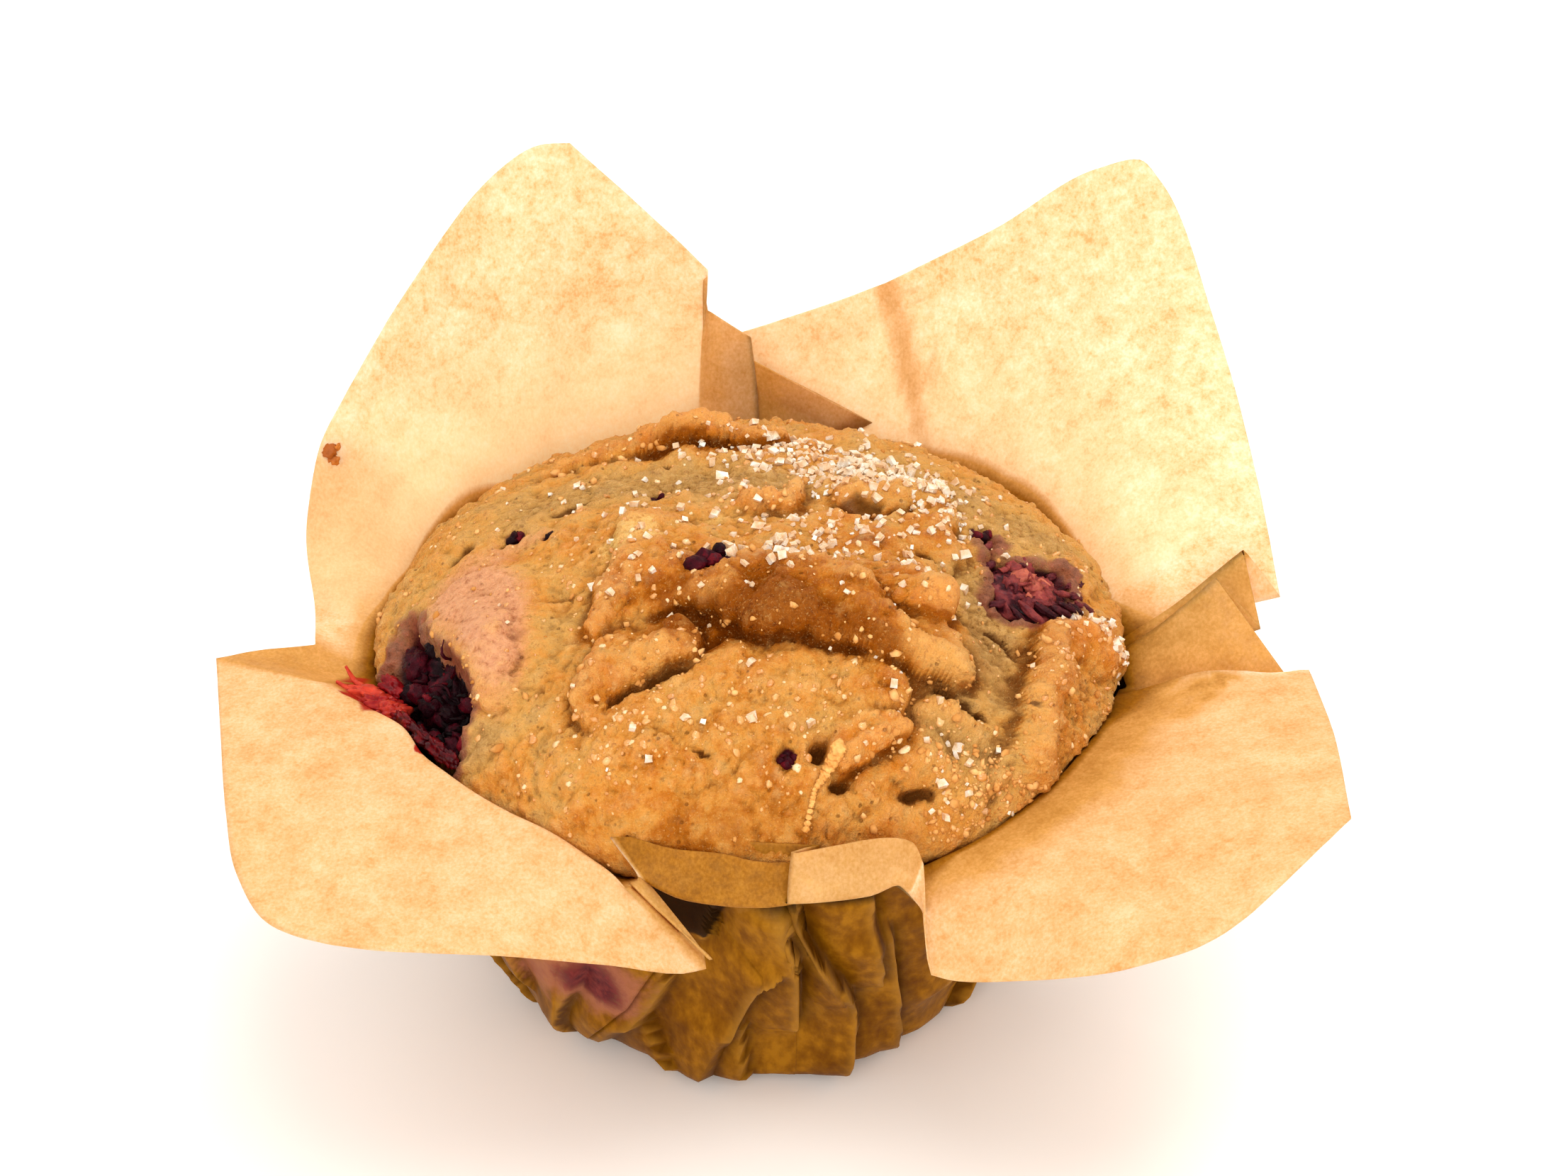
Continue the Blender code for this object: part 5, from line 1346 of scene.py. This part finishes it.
        shape = shape * (1 + 0.45 * noise(lumps.small * 2.2 + px * 7 + py, 1.0, 93))[:, None]
        lumps.add(shape @ turn_.T + at, lumps.small_tris, rng.uniform(0.12, 0.52))
    for k in range(12):
        px, py = 30.2 + rng.normal() * 2.0, -1.6 + rng.normal() * 1.7
        at, up = on_dome(px, py, rng.uniform(-0.9, 0.1))
        away = np.array([abs(rng.normal()) * 1.5, rng.normal(), 0]) + up * rng.uniform(-0.2, 0.5)
        lumps.fibre(at, at + away / np.linalg.norm(away) * rng.uniform(0.8, 1.6), rng.uniform(0.35, 0.6), rng.choice([0.3, 0.6, 0.85]))
    lumps.piece("berry_right_flesh", red, "berry_right")

    # small dark bits of fruit in the crust
    lumps = Lumps(8)
    rng = lumps.rng
    for px, py, size in BITS:
        near = np.argmin(np.hypot(crown_base[:, 0] - px, crown_base[:, 1] - py))
        up = on_dome(px, py)[1]
        for k in range(6 if size > 1.4 else 3):
            at = crown_points[near] + up * 0.15 + rng.normal(size=3) * (0.34 * size, 0.30 * size, 0.10)
            lumps.drop(at, rng.uniform(0.26, 0.52, 3) * size, up + 0.6 * rng.normal(size=3), rng.uniform(0.35, 0.75), 0.4, big=False)
    lumps.piece("berry_bits", dark)


def surface_normals(moved, index):
    grid = moved.reshape(*index.shape, 3)
    n = np.cross(np.gradient(grid, axis=0), np.gradient(grid, axis=1)).reshape(-1, 3)
    n /= np.maximum(np.linalg.norm(n, axis=1, keepdims=True), 1e-9)
    return np.where(n[:, 2:] < 0, -n, n)


CRYSTAL = np.array([(x, y, z) for x in (-1, 1) for y in (-1, 1) for z in (-1, 1)], float)
CRYSTAL_FACES = np.array([(0, 1, 3, 2), (4, 6, 7, 5), (0, 4, 5, 1), (2, 3, 7, 6), (0, 2, 6, 4), (1, 5, 7, 3)])


def chips(name, spots, normals, sizes, rng, flat=0.8, sink=0.25):
    """Many small broken cubes as one mesh: sugar or crumbs, each sitting in the crust."""
    points, faces = [], []
    for k, (spot, normal, size) in enumerate(zip(spots, normals, sizes)):
        shape = CRYSTAL * rng.uniform(0.62, 1.0, 3) * (1, rng.uniform(0.8, 1.35), flat) * size / 2
        shape = shape * rng.uniform(0.72, 1.1, (8, 1)) + rng.normal(size=(8, 3)) * size * 0.05
        turn = turn_to(normal + 0.75 * rng.normal(size=3), rng.uniform(0, 6.28))
        points.append(shape @ turn.T + spot + normal * size * (0.5 * flat - sink))
        faces.append(CRYSTAL_FACES + 8 * k)
    return build(name, np.vstack(points), np.vstack(faces), smooth_shade=False)


def make_sugar(moved, index, masks, base):
    rng = np.random.default_rng(11)
    normals = surface_normals(moved, index)
    x, y = base[:, 0], base[:, 1]
    z_ = lambda *args: blob(x, y, *args)
    clear = (1 - masks["hollow"]) * (masks["pit"] < 0.3) * (base[:, 2] > CROWN_Z + 1)
    weight = (
        1.5 * z_(14, 12, 7.5, 4.6, -8) + 1.4 * z_(5, 18.5, 7, 2.8, -6) + 0.30 * z_(9, -4, 9, 5) + 0.9 * z_(19.5, 4, 3, 4)
        + 0.02 * z_(0, -27, 14, 6) + 0.8 * z_(36.5, -4.5, 2.8, 2.2) + 0.10 * z_(0, 8, 16, 6) + 0.16 * z_(22, -30, 5, 4)
        + 0.35 * z_(19, -9.5, 4, 2.2, 30) + 0.10 * z_(-10, -6, 4, 5) + 0.005 * (np.hypot(x, y) < 35)
    ) * clear
    picks = rng.choice(len(base), 900, p=weight / weight.sum())
    sizes = rng.gamma(9.0, 0.074, len(picks)).clip(0.35, 1.1)
    spots, tilts = moved[picks], normals[picks]
    # the clump beside the dark bit of fruit
    extra = np.argsort(np.hypot(x - 0.6, y + 8.3))[:700]
    clump = rng.choice(extra, 20)
    spots = np.vstack([spots, moved[clump] + (0, 0, 0.25)])
    tilts = np.vstack([tilts, normals[clump]])
    sizes = np.append(sizes, rng.uniform(0.9, 1.45, len(clump)))
    sugar = chips("sugar_grains", spots, tilts, sizes, rng)
    m = Nodes("sugar")
    cloud = m.noise(0.5, 2.0, 0.5)
    shader = m.shader(
        Base_Color=m.ramp(m.noise(1.3, 2.0, 0.5), [(0.36, linear(238, 190, 138)), (0.5, linear(252, 222, 182)), (0.64, linear(255, 246, 230))]), Roughness=m.range(cloud, 0.3, 0.7, 0.08, 0.35),
        Transmission_Weight=0.26, IOR=1.45, Specular_IOR_Level=0.6, Coat_Weight=0.3, Coat_Roughness=0.05,
    )
    sugar.data.materials.append(m.finish(shader))
    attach(sugar, "root")

    # sugar melted into the crust: small glassy beads over the golden front and the rim
    weight = (1.0 * z_(-4, -29, 12, 4.5) + 0.7 * z_(-14, -27, 6, 5) + 0.8 * z_(7, -25, 7, 3) + 0.9 * z_(35, -9, 4, 5) + 0.7 * z_(23, -30, 6, 4) + 0.5 * z_(8, 2, 10, 5)
        + 0.5 * z_(-14, -8, 5, 8) + 0.4 * z_(32, -20, 4, 6) + 0.12 * (np.hypot(x, y) < 36)) * clear * np.clip(1.2 * masks["crease"] - 0.2, 0, 1)
    picks = rng.choice(len(base), 900, p=weight / weight.sum())
    beads = Lumps(12)
    for k in picks:
        size = float(np.clip(rng.gamma(4.0, 0.056), 0.12, 0.46))
        beads.drop(moved[k] - normals[k] * size * 0.12, np.array([size, size * rng.uniform(0.8, 1.5), size * 0.62]), normals[k] + 0.3 * rng.normal(size=3), rng.uniform(0, 1), 0.5, big=False)
    made = build("sugar_beads", np.vstack(beads.points), np.vstack(beads.faces), {"ripe": np.concatenate(beads.ripe)})
    m = Nodes("melted_sugar")
    shader = m.shader(
        Base_Color=m.ramp(m.attribute("ripe"), [(0.2, linear(214, 142, 64)), (0.75, linear(234, 172, 96)), (1.0, linear(248, 210, 156))]), Roughness=0.18,
        Transmission_Weight=0.15, IOR=1.45, Specular_IOR_Level=0.6, Coat_Weight=0.5, Coat_Roughness=0.05,
    )
    made.data.materials.append(m.finish(shader))
    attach(made, "root")

    # loose crumbs and flakes of crust, mostly on the broken edges and the crumbly front right
    weight = (0.5 * masks["edge"] + 1.3 * z_(22, -30, 5, 3.6) + 0.8 * z_(27, -27, 3, 3) + 0.02) * clear
    picks = rng.choice(len(base), 620, p=weight / weight.sum())
    torn = Lumps(15)
    torn.tiny, torn.tiny_tris = ball(1)
    for k in picks:
        size = float(np.clip(rng.gamma(4.0, 0.068), 0.12, 0.66))
        torn.drop(moved[k] + normals[k] * size * 0.1, np.array([size, size * rng.uniform(0.6, 1.3), size * 0.7]), normals[k] + 0.5 * rng.normal(size=3), 0.5, 0.9, big=False)
    crumbs = build("crust_crumbs", np.vstack(torn.points), np.vstack(torn.faces))
    m = Nodes("crumb_bits")
    island = m.noise(2.2, 2.0, 0.5)
    fine_n = m.noise(0.3, 3.0, 0.6)
    shader = m.shader(
        Base_Color=m.ramp(island, [(0.35, linear(190, 122, 50)), (0.5, linear(212, 148, 76)), (0.65, linear(234, 182, 114))]), Roughness=0.6, Normal=m.bump(fine_n, 0.2, 0.6),
        Specular_IOR_Level=0.2,
    )
    crumbs.data.materials.append(m.finish(shader))
    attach(crumbs, "root")

    # a pulled strand of crumb under the front flake, and one brown crumb stuck to the left petal
    strand = Lumps(13)
    path = [(8.7, -31.2), (7.6, -32.8), (6.6, -34.2), (6.4, -35.4), (5.7, -36.8), (5.2, -37.9)]
    nearest = [crown_points[np.argmin(np.hypot(crown_base[:, 0] - px, crown_base[:, 1] - py))] + on_dome(px, py)[1] * 0.45 for px, py in path]
    for k, (a, b) in enumerate(zip(nearest, nearest[1:])):
        for t in (0.0, 0.25, 0.5, 0.75):
            size = np.interp(k + t, [0, 1, 2, 3, 5], [0.85, 0.52, 0.26, 0.30, 0.44])
            strand.drop(mix(a, b, t), np.array([size, size * 0.9, size * 0.6]), on_dome(*path[k])[1], 0.8, 0.55, big=True)
    made = build("crumb_strand", np.vstack(strand.points), np.vstack(strand.faces), {"ripe": np.concatenate(strand.ripe)})
    m = Nodes("strand")
    made.data.materials.append(
        m.finish(m.shader(Base_Color=m.ramp(m.noise(0.8, 3.0, 0.6), [(0.3, linear(206, 130, 48)), (0.7, linear(238, 178, 100))]), Roughness=0.5, Specular_IOR_Level=0.25, Normal=m.bump(m.noise(0.3, 2.0), 0.15, 0.5)))
    )
    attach(made, "root")

    stuck = Lumps(14)
    for k in range(9):
        at = np.array([-46.1, 19.9, 50.4]) + stuck.rng.normal(size=3) * (0.35, 0.35, 0.55)
        stuck.drop(at, stuck.rng.uniform(0.5, 0.95, 3), stuck.rng.normal(size=3), stuck.rng.uniform(0.1, 0.9), 0.4)
    made = build("stuck_crumb", np.vstack(stuck.points), np.vstack(stuck.faces), {"ripe": np.concatenate(stuck.ripe)})
    m = Nodes("stuck_crumb_crust")
    made.data.materials.append(
        m.finish(m.shader(Base_Color=m.ramp(m.attribute("ripe"), [(0.1, linear(150, 72, 12)), (0.9, linear(206, 120, 40))]), Roughness=0.5, Specular_IOR_Level=0.25, Normal=m.bump(m.noise(0.4, 3.0), 0.3, 0.6)))
    )
    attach(made, "root")


# ================================================================ the stage


def make_stage():
    size = 1500.0
    floor = build("floor", [(-size, -size, -0.02), (size, -size, -0.02), (size, size, -0.02), (-size, size, -0.02)], np.array([[0, 1, 2, 3]]))
    m = Nodes("pale_floor")
    m_shader = m.shader(Base_Color=(0.975, 0.945, 0.905, 1.0), Roughness=0.55)
    floor.data.materials.append(m.finish(m_shader))

    world = bpy.data.worlds.new("studio")
    world.use_nodes = True
    world.node_tree.nodes["Background"].inputs["Color"].default_value = (1.0, 0.985, 0.965, 1.0)
    world.node_tree.nodes["Background"].inputs["Strength"].default_value = 1.13
    scene.world = world

    def soft_light(name, place, target, size_x, size_y, watts, colour):
        data = bpy.data.lights.new(name, "AREA")
        data.shape = "RECTANGLE"
        data.size, data.size_y = size_x, size_y
        data.energy = watts
        data.color = colour
        lamp = bpy.data.objects.new(name, data)
        lamp.location = place
        aim = np.array(target) - np.array(place)
        from mathutils import Vector

        lamp.rotation_euler = Vector(aim).to_track_quat("-Z", "Y").to_euler()
        scene.collection.objects.link(lamp)

    soft_light("window", (0.30, 0.50, 0.85), (0.0, 0.0, 0.03), 0.40, 0.30, 2.4, (1.0, 0.975, 0.94))
    soft_light("ceiling", (0.10, -0.22, 0.95), (0.0, -0.03, 0.03), 0.45, 0.35, 2.1, (1.0, 0.98, 0.95))
    soft_light("fill", (-0.05, -0.62, 0.30), (0.0, -0.05, 0.0), 0.60, 0.30, 1.9, (1.0, 0.985, 0.96))

    data = bpy.data.cameras.new("view")
    data.lens, data.sensor_width, data.clip_start = 84.96, 36.0, 0.01
    camera = bpy.data.objects.new("view", data)
    camera.location = (0.00369, -0.32685, 0.26701)
    camera.rotation_euler = (math.radians(55.9), 0.0, 0.0)
    scene.collection.objects.link(camera)
    scene.camera = camera
    scene.view_settings.view_transform = "Standard"
    scene.view_settings.look = "None"


make_stage()
paper_wall = make_paper()
crown_points, crown_index, crown_masks, crown_base = make_cake(paper_wall)
make_fruit()
make_sugar(crown_points, crown_index, crown_masks, crown_base)
